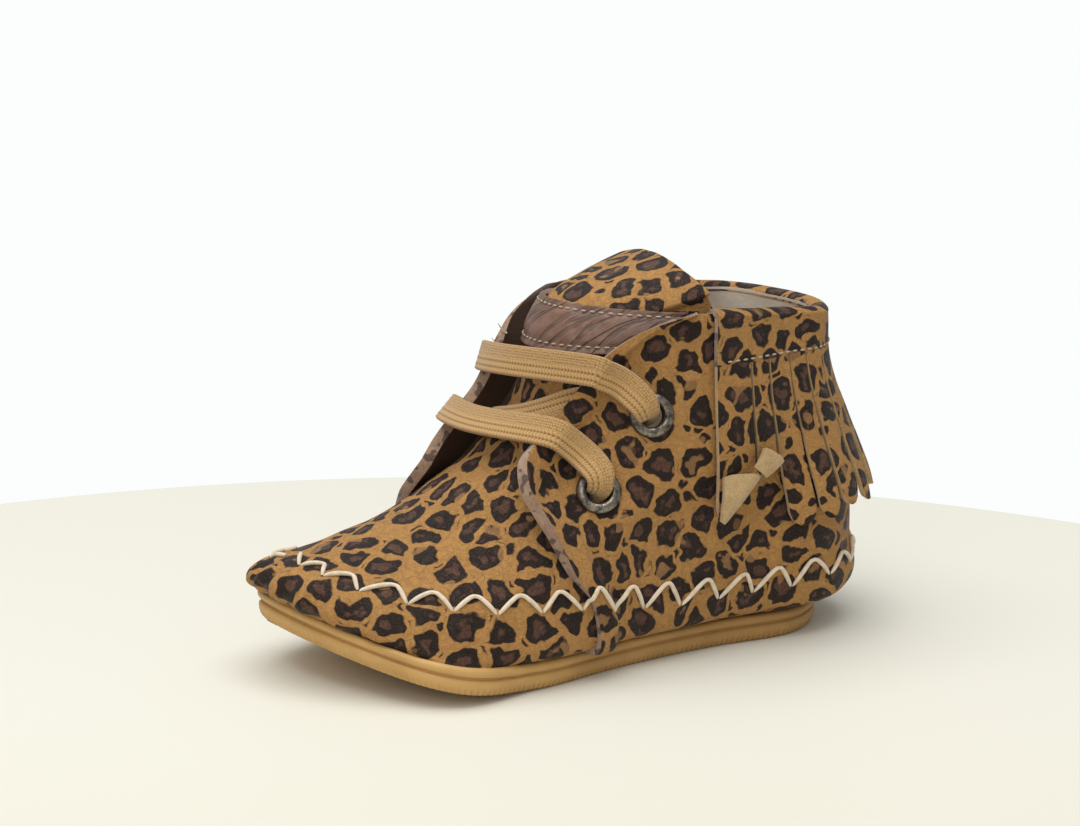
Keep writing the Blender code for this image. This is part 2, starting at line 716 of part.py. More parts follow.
def ribbon(name, places, normals, parts, material):
    """A flat lace along a smooth route, with its breadth square to the route and to the surface under it."""
    count = len(places)
    stations = np.arange(count, dtype=float)
    at = np.linspace(0, count - 1, LACE_SAMPLES)
    route = read_table(stations, np.array(places), at)
    facing = read_table(stations, np.array(normals), at)
    ahead = np.gradient(route, at, axis=0)
    across = np.cross(facing, ahead)
    across /= np.linalg.norm(across, axis=-1, keepdims=True)
    points = np.stack([route + across * LACE_WIDTH * share for share in (-0.5, 0.0, 0.5)], axis=1)
    faces = grid_faces(*points.shape[:2])
    lace = new_mesh_object(name, points.reshape(-1, 3), faces, parts, material)
    face_out(lace)
    thicken(lace, LACE_THICKNESS, 1.0)


def make_laces(parts, material):
    """Two bars over the facings, from eyelet to eyelet, and the crossing under them on the tongue."""
    for name, stops in LACE_BARS.items():
        level, share = (at + past for at, past in zip(EYELETS[name], BAR_END))
        stops = [(1, level, share)] + stops + [(-1, level, share)]
        places, normals = [], []
        for number, (side, level, share) in enumerate(stops):
            turn = np.array((side or 1) * float(turn_of(share)))
            lift = LACE_SPAN
            if side:
                along = share / float(edge_share(level, side))
                lift = float(quarter_walls(level, np.array(along), side)[1]) + LACE_SEAT
            if number in (0, 1, len(stops) - 2, len(stops) - 1):
                lift += EYELET_RIM
            places.append(lifted(level, turn, np.array(lift)))
            normals.append(outward(level, turn))
        ribbon(f"lace_bar_{name}", places, normals, parts, material)
    places, normals = [], []
    for side, level, share in CROSSING:
        turn = np.array(side * float(turn_of(share)))
        places.append(lifted(level, turn, np.array(on_tongue(2 * CLEAR))))
        normals.append(outward(level, turn))
    ribbon("lace_crossing", places, normals, parts, material)


def main():
    for old in list(bpy.data.objects):
        bpy.data.objects.remove(old, do_unlink=True)
    parts = bpy.data.collections.new("toddler_boot")
    cutters = bpy.data.collections.new("cutters")
    bpy.context.scene.collection.children.link(parts)
    bpy.context.scene.collection.children.link(cutters)
    suede = new_material("leopard_suede", 0.9)
    make_outsole(parts, cutters, new_material("sole_rubber", 0.55))
    make_insole(parts, new_material("lining", 0.8))
    make_upper(parts, cutters, suede)
    make_tongue(parts, suede)
    make_strap(parts, new_material("strap_leather", 0.5))
    make_fringe_collar(parts, suede)
    make_eyelets(parts, new_material("eyelet_metal", 0.4, 0.9))
    make_laces(parts, new_material("lace_cotton", 0.85))


main()
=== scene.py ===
"""Toddler boot: leopard-print suede, fringed collar, flat laces and gum rubber sole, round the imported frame.

The toe points to -Y, the outer side of the foot is +X and the floor is z = 0, as in the frame.
"""

import math

import bmesh
import bpy
import numpy as np
from mathutils import Matrix, Vector, noise


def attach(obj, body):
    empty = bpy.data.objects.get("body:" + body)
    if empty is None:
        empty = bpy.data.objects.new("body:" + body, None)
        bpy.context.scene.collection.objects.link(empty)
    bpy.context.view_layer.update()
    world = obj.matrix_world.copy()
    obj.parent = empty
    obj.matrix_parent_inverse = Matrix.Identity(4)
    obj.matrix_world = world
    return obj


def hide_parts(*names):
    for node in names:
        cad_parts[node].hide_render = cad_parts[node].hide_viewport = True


bl_info = {
    "name": "Toddler Boot",
    "version": (1, 0, 0),
    "blender": (4, 5, 0),
    "location": "View3D > Sidebar > Boot",
    "description": "Builds a leopard-print toddler boot with a fringed collar and flat laces",
    "category": "Add Mesh",
}

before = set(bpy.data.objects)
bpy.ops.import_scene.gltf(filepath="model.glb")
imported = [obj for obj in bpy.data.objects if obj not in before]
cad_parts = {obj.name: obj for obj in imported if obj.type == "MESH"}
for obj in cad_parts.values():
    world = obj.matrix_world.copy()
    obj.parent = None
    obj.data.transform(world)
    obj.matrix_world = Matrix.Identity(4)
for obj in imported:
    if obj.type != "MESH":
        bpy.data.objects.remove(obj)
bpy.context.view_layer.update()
MM = 0.001

# Sizes of the boot's form
LENGTH = 136.5 * MM
BALL_WIDTH = 58.0 * MM
BACK_HEIGHT = 71.0 * MM
INSTEP_HEIGHT = 76.0 * MM
SOLE_THICKNESS = 5.5 * MM
CLEAR = 0.3 * MM
SOLE_TOP = SOLE_THICKNESS + CLEAR
TOE_SPRING = 10.5 * MM
TOE_SPRING_START = 0.425
TOE_SPRING_END = 0.791
HEEL_CURL = 1.5 * MM
HEEL_CURL_START = 0.015
HEEL_CURL_END = 0.117
CURL_PAST_END = 1.2
SOLE_LIP = 1.1 * MM
LUG_PITCH = 8.0 * MM
LUG_GAP = 2.0 * MM
LUG_DEPTH = 1.2 * MM
LUG_BREADTH = 0.62
LUG_FIRST = -4.0 * MM
LUG_LAST = 0.68
# Points inside the boot and its collar, which outer faces look away from
MIDDLE = Vector((0.0, -0.30 * LENGTH, 0.40 * BACK_HEIGHT))
COLLAR_MIDDLE = Vector((0.0, -15.0 * MM, 66.0 * MM))

# Walls of the upper
QUARTER_WALL = 2.2 * MM
FLAP_WALL = 1.5 * MM
TONGUE_DROP = 1.9 * MM
TONGUE_DROP_LEVELS = (0.56, 0.70)
UNDER_QUARTER = 3.6 * MM
UNDER_QUARTER_LEVELS = (0.50, 0.66)
FLAP_JOIN = {1: 0.915, -1: 0.86}
FLAP_CLEAR = {1: 0.95, -1: 0.90}
FLAP_LIFT_POWER = 1.5

# Thickness of each finished sheet, and width of its rounded edges
QUARTER_SHEET = 2.4 * MM
TONGUE_SHEET = 1.5 * MM
STRAP_SHEET = 1.2 * MM
BAND_SHEET = 1.2 * MM
STRIP_SHEET = 1.15 * MM
EYELET_SHEET = 0.25 * MM
SUEDE_SOFT_EDGE = 0.3 * MM
STRAP_SOFT_EDGE = 0.4 * MM
BAND_SOFT_EDGE = 0.35 * MM
STRIP_SOFT_EDGE = 0.25 * MM

# Where in the printed suede the vamp and the fringe are cut from (mm)
VAMP_PRINT = np.array([37.0, 211.0])
FRINGE_PRINT = np.array([5.0, 60.0])

# Sections of the form. Columns: level, back, back rise, front, front rise, share of the sole's curl, then
# half breadths at BREADTH_AT, as shares of the sizes above
RINGS = np.array([
    [0.00, -0.103, 0.000, 0.795, 0.000, 1.00, 0.57, 0.276, 0.362, 0.353, 0.452, 0.448, 0.52],
    [0.10, -0.175, 0.037, 0.824, 0.031, 0.95, 0.62, 0.328, 0.414, 0.414, 0.500, 0.428, 0.57],
    [0.22, -0.168, 0.195, 0.801, 0.130, 0.80, 0.64, 0.345, 0.431, 0.422, 0.491, 0.397, 0.55],
    [0.38, -0.162, 0.388, 0.711, 0.252, 0.50, 0.62, 0.336, 0.414, 0.414, 0.448, 0.336, 0.48],
    [0.55, -0.138, 0.581, 0.575, 0.392, 0.20, 0.57, 0.305, 0.380, 0.418, 0.414, 0.302, 0.45],
    [0.75, -0.104, 0.786, 0.436, 0.638, 0.00, 0.53, 0.285, 0.368, 0.405, 0.388, 0.276, 0.41],
    [1.00, -0.092, 1.000, 0.344, 1.000, 0.00, 0.53, 0.276, 0.335, 0.380, 0.388, 0.276, 0.41],
    [1.20, -0.088, 1.180, 0.165, 1.135, 0.00, 0.53, 0.276, 0.335, 0.380, 0.388, 0.276, 0.41],
])
# Shares of a section's length where its breadths are given, the sideways bend of its middle line there
# (share of BALL_WIDTH), and the level where the bend is gone
BREADTH_AT = np.array([0.0, 0.08, 0.25, 0.45, 0.65, 0.85, 1.0])
BEND = np.array([0.0, 0.0, -0.052, 0.014, 0.021, 0.017, -0.164])
BEND_FADES_AT = 0.6

# Front edge of each quarter. Columns: level, share of the section on the outer side, and on the inner side
QUARTER_EDGE = np.array([
    [0.00, 0.555, 0.600],
    [0.12, 0.560, 0.620],
    [0.23, 0.582, 0.680],
    [0.32, 0.639, 0.770],
    [0.45, 0.730, 0.870],
    [0.52, 0.795, 0.935],
    [0.58, 0.850, 0.965],
    [0.66, 0.900, 0.963],
    [0.80, 0.903, 0.955],
    [0.89, 0.847, 0.945],
    [0.945, 0.775, 0.900],
    [1.00, 0.660, 0.780],
    [1.20, 0.660, 0.780],
])
# How far the free edge stands off. Columns: level, outer side, inner side, in shares of QUARTER_STAND_OFF
QUARTER_STAND_OFF = 5.5 * MM
STAND_OFF = np.array([
    [0.00, 0.00, 0.00],
    [0.48, 0.00, 0.00],
    [0.56, 0.05, 0.30],
    [0.66, 0.10, 0.80],
    [0.76, 0.06, 0.85],
    [0.90, 0.04, 0.45],
    [1.00, 0.02, 0.10],
    [1.20, 0.02, 0.10],
])
# Outward curl of the outer quarter's raw corner. Columns: level, share of CORNER_CURL
CORNER_CURL = 5.4 * MM
CORNER_REACH = 0.060
CORNER = np.array([[0.0, 0.0], [0.26, 0.0], [0.36, 0.25], [0.46, 0.65], [0.56, 1.0], [0.64, 1.0],
                   [0.70, 0.45], [0.78, 0.12], [0.9, 0.0], [1.0, 0.0]])
# Top of the quarters, share of it lost at their free edges, and how far out that starts (share of the way)
QUARTER_TOP = 0.985
CORNER_FALL = 0.018
CORNER_FALL_START = 0.9
# Thinner wall at the top front corners: height and distance ahead where it starts, its length, share lost
THIN_HEIGHT = 62.0 * MM
THIN_AHEAD = 14.0 * MM
THIN_CHANGE = 8.0 * MM
THIN_LOSS = 0.75

# Soft creases placed one by one. Columns: side, level and share at one end, level and share at the other end,
# half width (mm), depth (share of CREASE_DEPTH, negative for a ridge)
CREASE_DEPTH = 1.6 * MM
CREASES = [
    (1, 0.26, 0.535, 0.03, 0.530, 1.0, 0.55),
    (1, 0.24, 0.505, 0.04, 0.497, 1.1, 0.45),
    (1, 0.20, 0.478, 0.05, 0.462, 1.2, 0.35),
    (1, 0.25, 0.520, 0.05, 0.514, 0.8, -0.35),
    (1, 0.92, 0.60, 0.80, 0.640, 1.8, 0.35),
    (1, 0.70, 0.60, 0.52, 0.640, 3.0, 0.40),
    (1, 0.50, 0.55, 0.34, 0.520, 3.0, 0.35),
    (1, 0.24, 0.05, 0.06, 0.070, 1.4, 0.40),
    (1, 0.22, 0.11, 0.05, 0.130, 1.6, 0.30),
    (1, 0.52, 0.86, 0.44, 0.980, 2.4, 0.35),
    (1, 0.40, 0.80, 0.30, 0.900, 2.6, 0.25),
    (-1, 0.24, 0.57, 0.04, 0.560, 1.1, 0.45),
    (-1, 0.22, 0.54, 0.05, 0.530, 1.0, 0.35),
    (-1, 0.70, 0.60, 0.52, 0.640, 3.0, 0.40),
    (-1, 0.24, 0.05, 0.06, 0.070, 1.4, 0.40),
    (-1, 0.50, 0.88, 0.42, 0.970, 2.4, 0.30),
]

# Eyelets on each side. Columns: level, share of the section
EYELETS = {"upper": (0.752, 0.684), "lower": (0.578, 0.713)}
EYELET_HOLE = 5.0 * MM
EYELET_HOLE_EASE = 0.8 * MM
# Height under which an eyelet's faces are painted near-black as shade in the bore
EYELET_BORE_BELOW = 0.4 * MM
# Section of an eyelet from inside the boot, over its rim and back to the wall, as radius and height (mm)
EYELET_SECTION = [(2.55, -2.3), (2.5, -0.6), (2.5, 0.35), (2.62, 0.75), (2.95, 1.05), (3.4, 1.12),
                  (3.9, 1.0), (4.35, 0.72), (4.6, 0.38), (4.65, 0.1), (4.6, -0.15)]

LACE_WIDTH = 6.5 * MM
LACE_THICKNESS = 1.5 * MM
LACE_RIBS = 5
# Routes of the laces from the outer eyelet to the inner one. Columns: side (0 on the middle line), level,
# share of the section, height (mm, over the quarter, or over the form where side is 0), share of the width
LACE_BARS = {
    "upper": [
        (1, 0.754, 0.704, -5.4, 0.62), (1, 0.756, 0.698, -1.6, 0.66), (1, 0.764, 0.706, 1.4, 0.82),
        (1, 0.780, 0.721, 2.2, 0.95), (1, 0.802, 0.750, 2.1, 1.0), (1, 0.832, 0.800, 1.6, 1.0),
        (1, 0.848, 0.850, 1.4, 1.0), (1, 0.856, 0.880, 1.4, 1.0), (0, 0.850, 1.000, 4.5, 1.0),
        (-1, 0.832, 0.950, 1.4, 1.0), (-1, 0.818, 0.900, 1.4, 1.0), (-1, 0.790, 0.800, 1.4, 1.0),
        (-1, 0.762, 0.710, 2.0, 0.85), (-1, 0.751, 0.684, -1.0, 0.66), (-1, 0.748, 0.679, -3.4, 0.62),
    ],
    "lower": [
        (1, 0.582, 0.720, -5.4, 0.62), (1, 0.582, 0.716, -1.6, 0.68), (1, 0.592, 0.719, 1.4, 0.80),
        (1, 0.613, 0.733, 2.3, 0.92), (1, 0.637, 0.757, 2.1, 1.0), (1, 0.675, 0.810, 1.4, 1.0),
        (1, 0.703, 0.865, 1.4, 1.0), (1, 0.716, 0.905, 1.4, 1.0), (0, 0.712, 1.000, 4.5, 1.0),
        (-1, 0.695, 0.960, 1.4, 1.0), (-1, 0.680, 0.905, 1.4, 1.0), (-1, 0.640, 0.800, 1.4, 1.0),
        (-1, 0.596, 0.735, 2.0, 0.85), (-1, 0.577, 0.713, -1.0, 0.66), (-1, 0.574, 0.708, -3.4, 0.62),
    ],
}
# Route of the crossing, from the inner lower eyelet over the tongue to the outer upper one. Columns: side,
# level, share, height over the form (mm), share of the width
CROSSING = [
    (-1, 0.578, 0.713, -4.2, 0.62), (-1, 0.630, 0.780, -3.4, 0.9), (-1, 0.690, 0.880, -1.6, 1.0),
    (-1, 0.715, 0.945, -1.1, 1.0), (-1, 0.728, 0.975, -1.1, 1.0), (-1, 0.738, 0.993, -1.1, 1.0),
    (1, 0.750, 0.999, -1.1, 1.0), (1, 0.760, 0.982, -1.1, 1.0), (1, 0.775, 0.945, -1.1, 1.0),
    (1, 0.790, 0.900, -1.3, 1.0), (1, 0.790, 0.840, -2.6, 1.0), (1, 0.772, 0.760, -3.3, 0.9),
    (1, 0.752, 0.684, -4.2, 0.62),
]

STRAP_LOW = 0.885
STRAP_HIGH = 0.985
STRAP_UNDER = {1: 0.965, -1: 0.945}
STRAP_OUT = -0.4 * MM
STRAP_RELIEF = 0.28 * MM
# Hems along the strap, as shares of its breadth, and the width of each
STRAP_HEMS = (0.13, 0.87)
STRAP_HEM_WIDTH = 0.07

TONGUE_BOTTOM = 0.635
TONGUE_SIDE_TOP = 0.99
# Rise of the tongue's top edge in levels, from its outer side to its inner side
TONGUE_TOP = np.array([[-1.0, 0.0], [-0.86, 0.060], [-0.70, 0.106], [-0.48, 0.149], [-0.20, 0.182],
                       [0.0, 0.190], [0.2, 0.187], [0.4, 0.168], [0.65, 0.125], [0.87, 0.060], [1.0, 0.0]])
TONGUE_UNDER = 0.80

FRINGE_FRONT = 0.166
FRINGE_OUT = 1.8 * MM
BAND_BOTTOM = 0.856
SLIT = 0.45 * MM
STRIP_STAND_OFF = 3.5 * MM
STRIP_BEND_POWER = 1.5
# Strips on one side, from the front to the heel. Columns: share of the fringe's breadth, level of the end
STRIPS = [(0.152, 0.385), (0.090, 0.455), (0.115, 0.335), (0.095, 0.345), (0.110, 0.360), (0.110, 0.345),
          (0.110, 0.360), (0.110, 0.335), (0.108, 0.350)]
# Turned-up ends of the first strips on each side. Columns: level where the fold starts, its radius (mm), its
# tilt (degrees)
STRIP_ROLLS = {0: (0.500, 0.85, 42.0), 1: (0.558, 1.00, 24.0)}
# Angle that the fold turns through (radians), and the direction of the heel
ROLL_END = 3.45
HEELWARD = np.array((0.0, 1.0, 0.0))
# Section of the band from the stitching up over the collar and down inside. Columns: way, level, lift (mm),
# rise (mm)
BAND_SECTION = np.array([
    [0.00, 0.850, 1.8, 0.0],
    [0.20, 0.900, 1.8, 0.0],
    [0.45, 0.965, 1.8, 0.0],
    [0.62, 0.985, 1.6, 0.1],
    [0.70, 0.985, 0.6, 0.9],
    [0.80, 0.985, -0.8, 0.9],
    [0.90, 0.985, -2.0, 0.3],
    [1.00, 0.975, -2.5, -0.3],
])

# Apexes of the zigzag thread, from the toe to the heel. Columns: level, share of the section
ZIGZAG_UPPER = [(0.316, 1.000), (0.313, 0.983), (0.305, 0.951), (0.304, 0.901), (0.295, 0.849),
                (0.293, 0.790), (0.294, 0.720), (0.293, 0.654), (0.289, 0.590), (0.256, 0.502),
                (0.241, 0.430), (0.225, 0.351), (0.219, 0.279), (0.221, 0.216), (0.228, 0.154),
                (0.213, 0.085), (0.208, 0.034), (0.206, 0.0036)]
ZIGZAG_LOWER = [(0.270, 0.992), (0.262, 0.969), (0.249, 0.928), (0.241, 0.868), (0.235, 0.806),
                (0.229, 0.739), (0.224, 0.664), (0.209, 0.590), (0.185, 0.532), (0.172, 0.468),
                (0.159, 0.401), (0.154, 0.328), (0.154, 0.264), (0.155, 0.195), (0.166, 0.118),
                (0.158, 0.057), (0.157, 0.0145), (0.157, 0.0)]
# How much lower the inner side's apexes sit round the toe (level), and the share where the toe starts
ZIGZAG_DIP = 0.03
ZIGZAG_TOE = 0.94
# The thread's middle over the wall (mm): at the upper apexes, added in mid-leg, lost at the lower apexes
ZIGZAG_HEIGHT = 0.30
ZIGZAG_BOW = 0.20
ZIGZAG_SINK = 0.75
# The thread's thickness in the same places, as shares of its own
ZIGZAG_FULL = 0.95
ZIGZAG_SWELL = 0.18
ZIGZAG_PINCH = 0.35

# A topstitch: breadth, height and how far its middle stands off
STITCH_BREADTH = 0.42 * MM
STITCH_HEIGHT = 0.40 * MM
STITCH_LIFT = 0.06 * MM

# Side of the sole from the middle of the underside to the middle of its top. Columns: share of the way out
# from the middle line, reach past the upper (share of SOLE_LIP), height (share of SOLE_THICKNESS), depth of
# the ribs (share of SOLE_RIB_DEPTH)
SOLE_SECTION = [
    (0.0, 0.0, 0.000, 0.0), (0.5, 0.0, 0.000, 0.0), (0.9, -0.90, 0.000, 0.0), (1.0, -0.60, 0.000, 0.3),
    (1.0, -0.10, 0.020, 0.8), (1.0, 0.28, 0.070, 1.0), (1.0, 0.55, 0.140, 1.0), (1.0, 0.68, 0.220, 0.6),
    (1.0, 0.80, 0.300, 0.0), (1.0, 0.84, 0.440, 0.0), (1.0, 0.74, 0.550, 0.0), (1.0, 0.50, 0.600, 0.0),
    (1.0, 0.16, 0.630, 0.0), (1.0, 0.10, 0.670, 0.0), (1.0, 0.30, 0.705, 0.0), (1.0, 0.78, 0.735, 0.0),
    (1.0, 1.00, 0.800, 0.0), (1.0, 1.02, 0.890, 0.0), (1.0, 0.88, 0.980, 0.0), (1.0, 0.55, 1.045, 0.0),
    (1.0, 0.10, 1.070, 0.0), (0.9, -0.90, 1.000, 0.0), (0.5, 0.0, 1.000, 0.0), (0.0, 0.0, 1.000, 0.0),
]
SOLE_RIB_PITCH = 1.3 * MM
SOLE_RIB_DEPTH = 0.50 * MM
INSOLE_SHY = 1.9 * MM
INSOLE_THICKNESS = 2.0 * MM
# Side of the footbed from the middle of its underside to the middle of its top. Columns: share of the way
# out from the middle line, height (share of INSOLE_THICKNESS)
INSOLE_SECTION = [(0.0, 0.0), (0.95, 0.0), (1.0, 0.15), (1.0, 0.8), (0.985, 1.0), (0.8, 0.92), (0.4, 0.82),
                  (0.0, 0.8)]

# The photograph's view: angles of the line of sight, its distance and the point it looks at
VIEW_TURN = math.radians(27.0)
VIEW_RISE = math.radians(12.1)
VIEW_DISTANCE = 545.0 * MM
VIEW_POINT = Vector((0.0, -50.6 * MM, 50.5 * MM))
VIEW_LENS = 87.0
VIEW_SENSOR = 36.0

TABLE_MIDDLE = Vector((86.0 * MM, -115.0 * MM, 0.0))
TABLE_RADIUS = 262.0 * MM
TABLE_THICKNESS = 12.0 * MM
TABLE_SOFT_EDGE = 3.0 * MM
# Soft lights. Columns: name, place (m), size (m), power (W)
LIGHTS = [
    ("key_softbox", (0.04, -0.22, 1.12), 1.2, 14.0),
    ("side_softbox", (0.75, -0.60, 0.55), 0.7, 2.2),
]
# The surround as a light, and as it looks
SURROUND_LIGHT = (0.93, 0.97, 1.0, 1.0)
SURROUND_STRENGTH = 0.46
SURROUND_LOOK = (0.965, 0.99, 0.975, 1.0)


def length_property(name, description, default):
    return bpy.props.FloatProperty(name=name, description=description, default=default, subtype="DISTANCE",
                                   unit="LENGTH")


class BootSizes(bpy.types.PropertyGroup):
    """Sizes of the finish that can be changed by themselves."""

    spot: bpy.props.FloatProperty(name="Spot spacing", description="Spacing of the printed spots (mm)",
                                  default=6.9, min=2.0, max=30.0)
    gather_depth: length_property("Gathers", "Depth of the gathers round the toe", 0.42 * MM)
    softness: length_property("Softness", "Depth of the suede's soft hollows and swells", 0.45 * MM)
    thread: length_property("Thread", "Thickness of the zigzag thread", 0.88 * MM)
    stitch: length_property("Stitch", "Length of a stitch on the band and the strap", 1.25 * MM)
    stitch_pitch: length_property("Stitch pitch", "Length from one stitch to the next", 1.95 * MM)


def colour_property(name, description, default):
    return bpy.props.FloatVectorProperty(name=name, description=description, default=default, size=3,
                                         min=0.0, max=1.0, subtype="COLOR")


class BootColours(bpy.types.PropertyGroup):
    """Colours of the boot's materials."""

    ground: colour_property("Ground", "Tan ground of the print", (0.450, 0.236, 0.078))
    rim: colour_property("Spot rim", "Dark rim of each printed spot", (0.012, 0.008, 0.0075))
    heart: colour_property("Spot heart", "Brown heart of each printed spot", (0.072, 0.031, 0.027))
    raw: colour_property("Raw edge", "Cut edges of the suede", (0.37, 0.235, 0.15))
    flesh: colour_property("Flesh side", "Back of the fringe", (0.52, 0.345, 0.155))
    lining: colour_property("Lining", "Lining leather", (0.62, 0.53, 0.42))
    thread: colour_property("Thread", "Zigzag and topstitching thread", (0.74, 0.62, 0.46))
    strap: colour_property("Strap", "Leather of the tongue's strap", (0.19, 0.096, 0.060))
    lace: colour_property("Lace", "Woven cotton lace", (0.46, 0.27, 0.10))
    rubber: colour_property("Rubber", "Gum rubber sole", (0.57, 0.335, 0.11))
    metal: colour_property("Metal", "Dark antique metal of the eyelets", (0.27, 0.235, 0.19))
    table: colour_property("Table", "Round table top", (0.735, 0.71, 0.615))


def sizes():
    return bpy.context.scene.boot_sizes


def colours():
    return bpy.context.scene.boot_colours


# The form that every piece is read from

def read_table(stations, rows, at):
    """The table's rows at any station: cubic pieces that take their slopes from the rows on each side."""
    stations = np.asarray(stations, float)
    rows = np.asarray(rows, float)
    at = np.clip(np.asarray(at, float), stations[0], stations[-1])
    slopes = np.gradient(rows, stations, axis=0)
    low = np.clip(np.searchsorted(stations, at, side="right") - 1, 0, len(stations) - 2)
    step = stations[low + 1] - stations[low]
    way = (at - stations[low]) / step
    way, step = (value.reshape(value.shape + (1,) * (rows.ndim - 1)) for value in (way, step))
    ends = (2 * way**3 - 3 * way**2 + 1) * rows[low] + (3 * way**2 - 2 * way**3) * rows[low + 1]
    lean = (way**3 - 2 * way**2 + way) * slopes[low] + (way**3 - way**2) * slopes[low + 1]
    return ends + step * lean


def between(at, start, end):
    """0 before start, 1 after end, and an even ease between them."""
    way = np.clip((at - start) / (end - start), 0, 1)
    return way * way * (3 - 2 * way)


def turn_of(share):
    """The angle round a section, from 0 at the heel to pi at the front, at a share of its length."""
    return np.arccos(1 - 2 * np.clip(share, 0, 1))


def share_of(turn):
    return (1 - np.cos(turn)) / 2


def curl(forward):
    """How far the sole curls up at a distance in front of the heel's flat spot."""
    toe = (forward / LENGTH - TOE_SPRING_START) / (TOE_SPRING_END - TOE_SPRING_START)
    heel = (-forward / LENGTH - HEEL_CURL_START) / (HEEL_CURL_END - HEEL_CURL_START)
    toe, heel = (np.clip(way, 0, CURL_PAST_END) for way in (toe, heel))
    return TOE_SPRING * toe**2 + HEEL_CURL * heel**2


def form(level, turn):
    """Points of the boot's form, as an array that ends in x, y, z."""
    level, turn = np.broadcast_arrays(np.asarray(level, float), np.asarray(turn, float))
    share = share_of(turn)
    row = read_table(RINGS[:, 0], RINGS[:, 1:], level)
    back = row[..., 0] * LENGTH
    forward = back + (row[..., 2] * LENGTH - back) * share
    back_rise = row[..., 1] * (BACK_HEIGHT - SOLE_TOP)
    front_rise = row[..., 3] * (INSTEP_HEIGHT - SOLE_TOP)
    rise = back_rise * (1 - share) + front_rise * share
    swell = np.sin(turn_of(BREADTH_AT))
    swell[0] = 1
    swell[-1] = 1
    picks = read_table(BREADTH_AT, np.eye(len(BREADTH_AT)), share)
    breadth = (row[..., 5:] / swell * picks).sum(axis=-1) * np.sin(turn)
    bend = (BEND * picks).sum(axis=-1) * np.clip(1 - level / BEND_FADES_AT, 0, 1)
    height = SOLE_TOP + rise + row[..., 4] * curl(forward)
    return np.stack([(bend + breadth) * BALL_WIDTH, -forward, height], axis=-1)


def outward(level, turn, step=0.002):
    """The form's unit normals, which point away from the foot."""
    level = np.asarray(level, float)
    along = form(level, turn + step) - form(level, turn - step)
    up = form(level + step, turn) - form(np.maximum(level - step, 0), turn)
    normal = np.cross(up, along)
    return normal / np.linalg.norm(normal, axis=-1, keepdims=True)


def lifted(level, turn, lift):
    """Points at a height off the form, kept clear of the top of the sole."""
    points = form(level, turn) + outward(level, turn) * np.asarray(lift)[..., None]
    points[..., 2] = np.maximum(points[..., 2], SOLE_TOP + curl(-points[..., 1]))
    return points


def edge_share(level, side):
    """The share of a section where the quarter ends; side may be an array of 1 and -1."""
    edges = read_table(QUARTER_EDGE[:, 0], QUARTER_EDGE[:, 1:], level)
    return np.where(np.asarray(side) > 0, edges[..., 0], edges[..., 1])


def flap_ease(along, side):
    """0 where the quarter is the only wall, 1 where it lies over the vamp or the tongue."""
    outer = between(along, FLAP_JOIN[1], FLAP_CLEAR[1])
    inner = between(along, FLAP_JOIN[-1], FLAP_CLEAR[-1])
    return np.where(np.asarray(side) > 0, outer, inner)


def quarter_height(level, along, side):
    """Height of the quarter's outer face over the form."""
    side = np.asarray(side)
    ease = flap_ease(along, side)
    join = np.where(side > 0, FLAP_JOIN[1], FLAP_JOIN[-1])
    rise = np.clip((along - join) / (1 - join), 0, 1) ** FLAP_LIFT_POWER
    off = read_table(STAND_OFF[:, 0], STAND_OFF[:, 1:], level)
    stand = np.where(side > 0, off[..., 0], off[..., 1]) * QUARTER_STAND_OFF
    corner = read_table(CORNER[:, 0], CORNER[:, 1], level) * (side > 0)
    curled = corner * CORNER_CURL * np.clip((along - 1) / CORNER_REACH + 1, 0, 1) ** 2
    return (FLAP_WALL + CLEAR) * ease + stand * rise + curled


def softness(level, turn):
    """Hollows, swells, creases and gathers of the suede, as heights to add at each place."""
    points = form(level, turn)
    flat = points.reshape(-1, 3)
    depth = sizes().softness
    wide = np.array([noise.noise(Vector(point) / (17 * MM)) for point in flat])
    fine = np.array([noise.noise(Vector(point) / (5.5 * MM) + Vector((7, 3, 1))) for point in flat])
    height = depth * (wide + 0.35 * fine).reshape(points.shape[:-1])
    for side, level_a, share_a, level_b, share_b, width, low in CREASES:
        start = form(level_a, side * float(turn_of(share_a)))
        end = form(level_b, side * float(turn_of(share_b)))
        line = end - start
        way = np.clip(((points - start) @ line) / (line @ line), 0, 1)
        away = np.linalg.norm(points - start - way[..., None] * line, axis=-1)
        fade = np.exp(-(away / (width * MM)) ** 2) * np.sin(math.pi * (0.08 + 0.84 * way))
        height = height - CREASE_DEPTH * low * fade
    front = np.abs(np.asarray(turn) - math.pi * np.sign(turn))
    wave = np.array([noise.noise(Vector((value * 3.1, 4.0, 2.0))) for value in np.ravel(front)])
    waves = np.cos(np.asarray(turn) * 43 + 5 * wave.reshape(np.shape(front)))
    gathers = between(level, 0.0, 0.06) * (1 - between(level, 0.14, 0.30)) * (1 - between(front, 0.7, 1.5))
    return height + sizes().gather_depth * gathers * waves


def wall_height(level, turn):
    """Height of the face that shows at a place on the upper: the quarter's, or the vamp's in front of it."""
    side = np.where(np.asarray(turn) >= 0, 1, -1)
    share = share_of(turn)
    edge = edge_share(level, side)
    quarter = quarter_height(level, share / edge, side)
    return np.where(share <= edge, quarter, 0.0) + softness(level, turn)


def skin_of(points, middle):
    """Lengths along the surface in millimetres: across from the middle column, and up from the first row."""
    across = np.linalg.norm(np.diff(points, axis=1), axis=-1).cumsum(axis=1)
    across = np.concatenate([np.zeros((len(points), 1)), across], axis=1)
    rise = np.linalg.norm(np.diff(points, axis=0), axis=-1).cumsum(axis=0)
    rise = np.concatenate([np.zeros((1, points.shape[1])), rise], axis=0)
    return np.stack([across - across[:, [middle]], rise], axis=-1) / MM


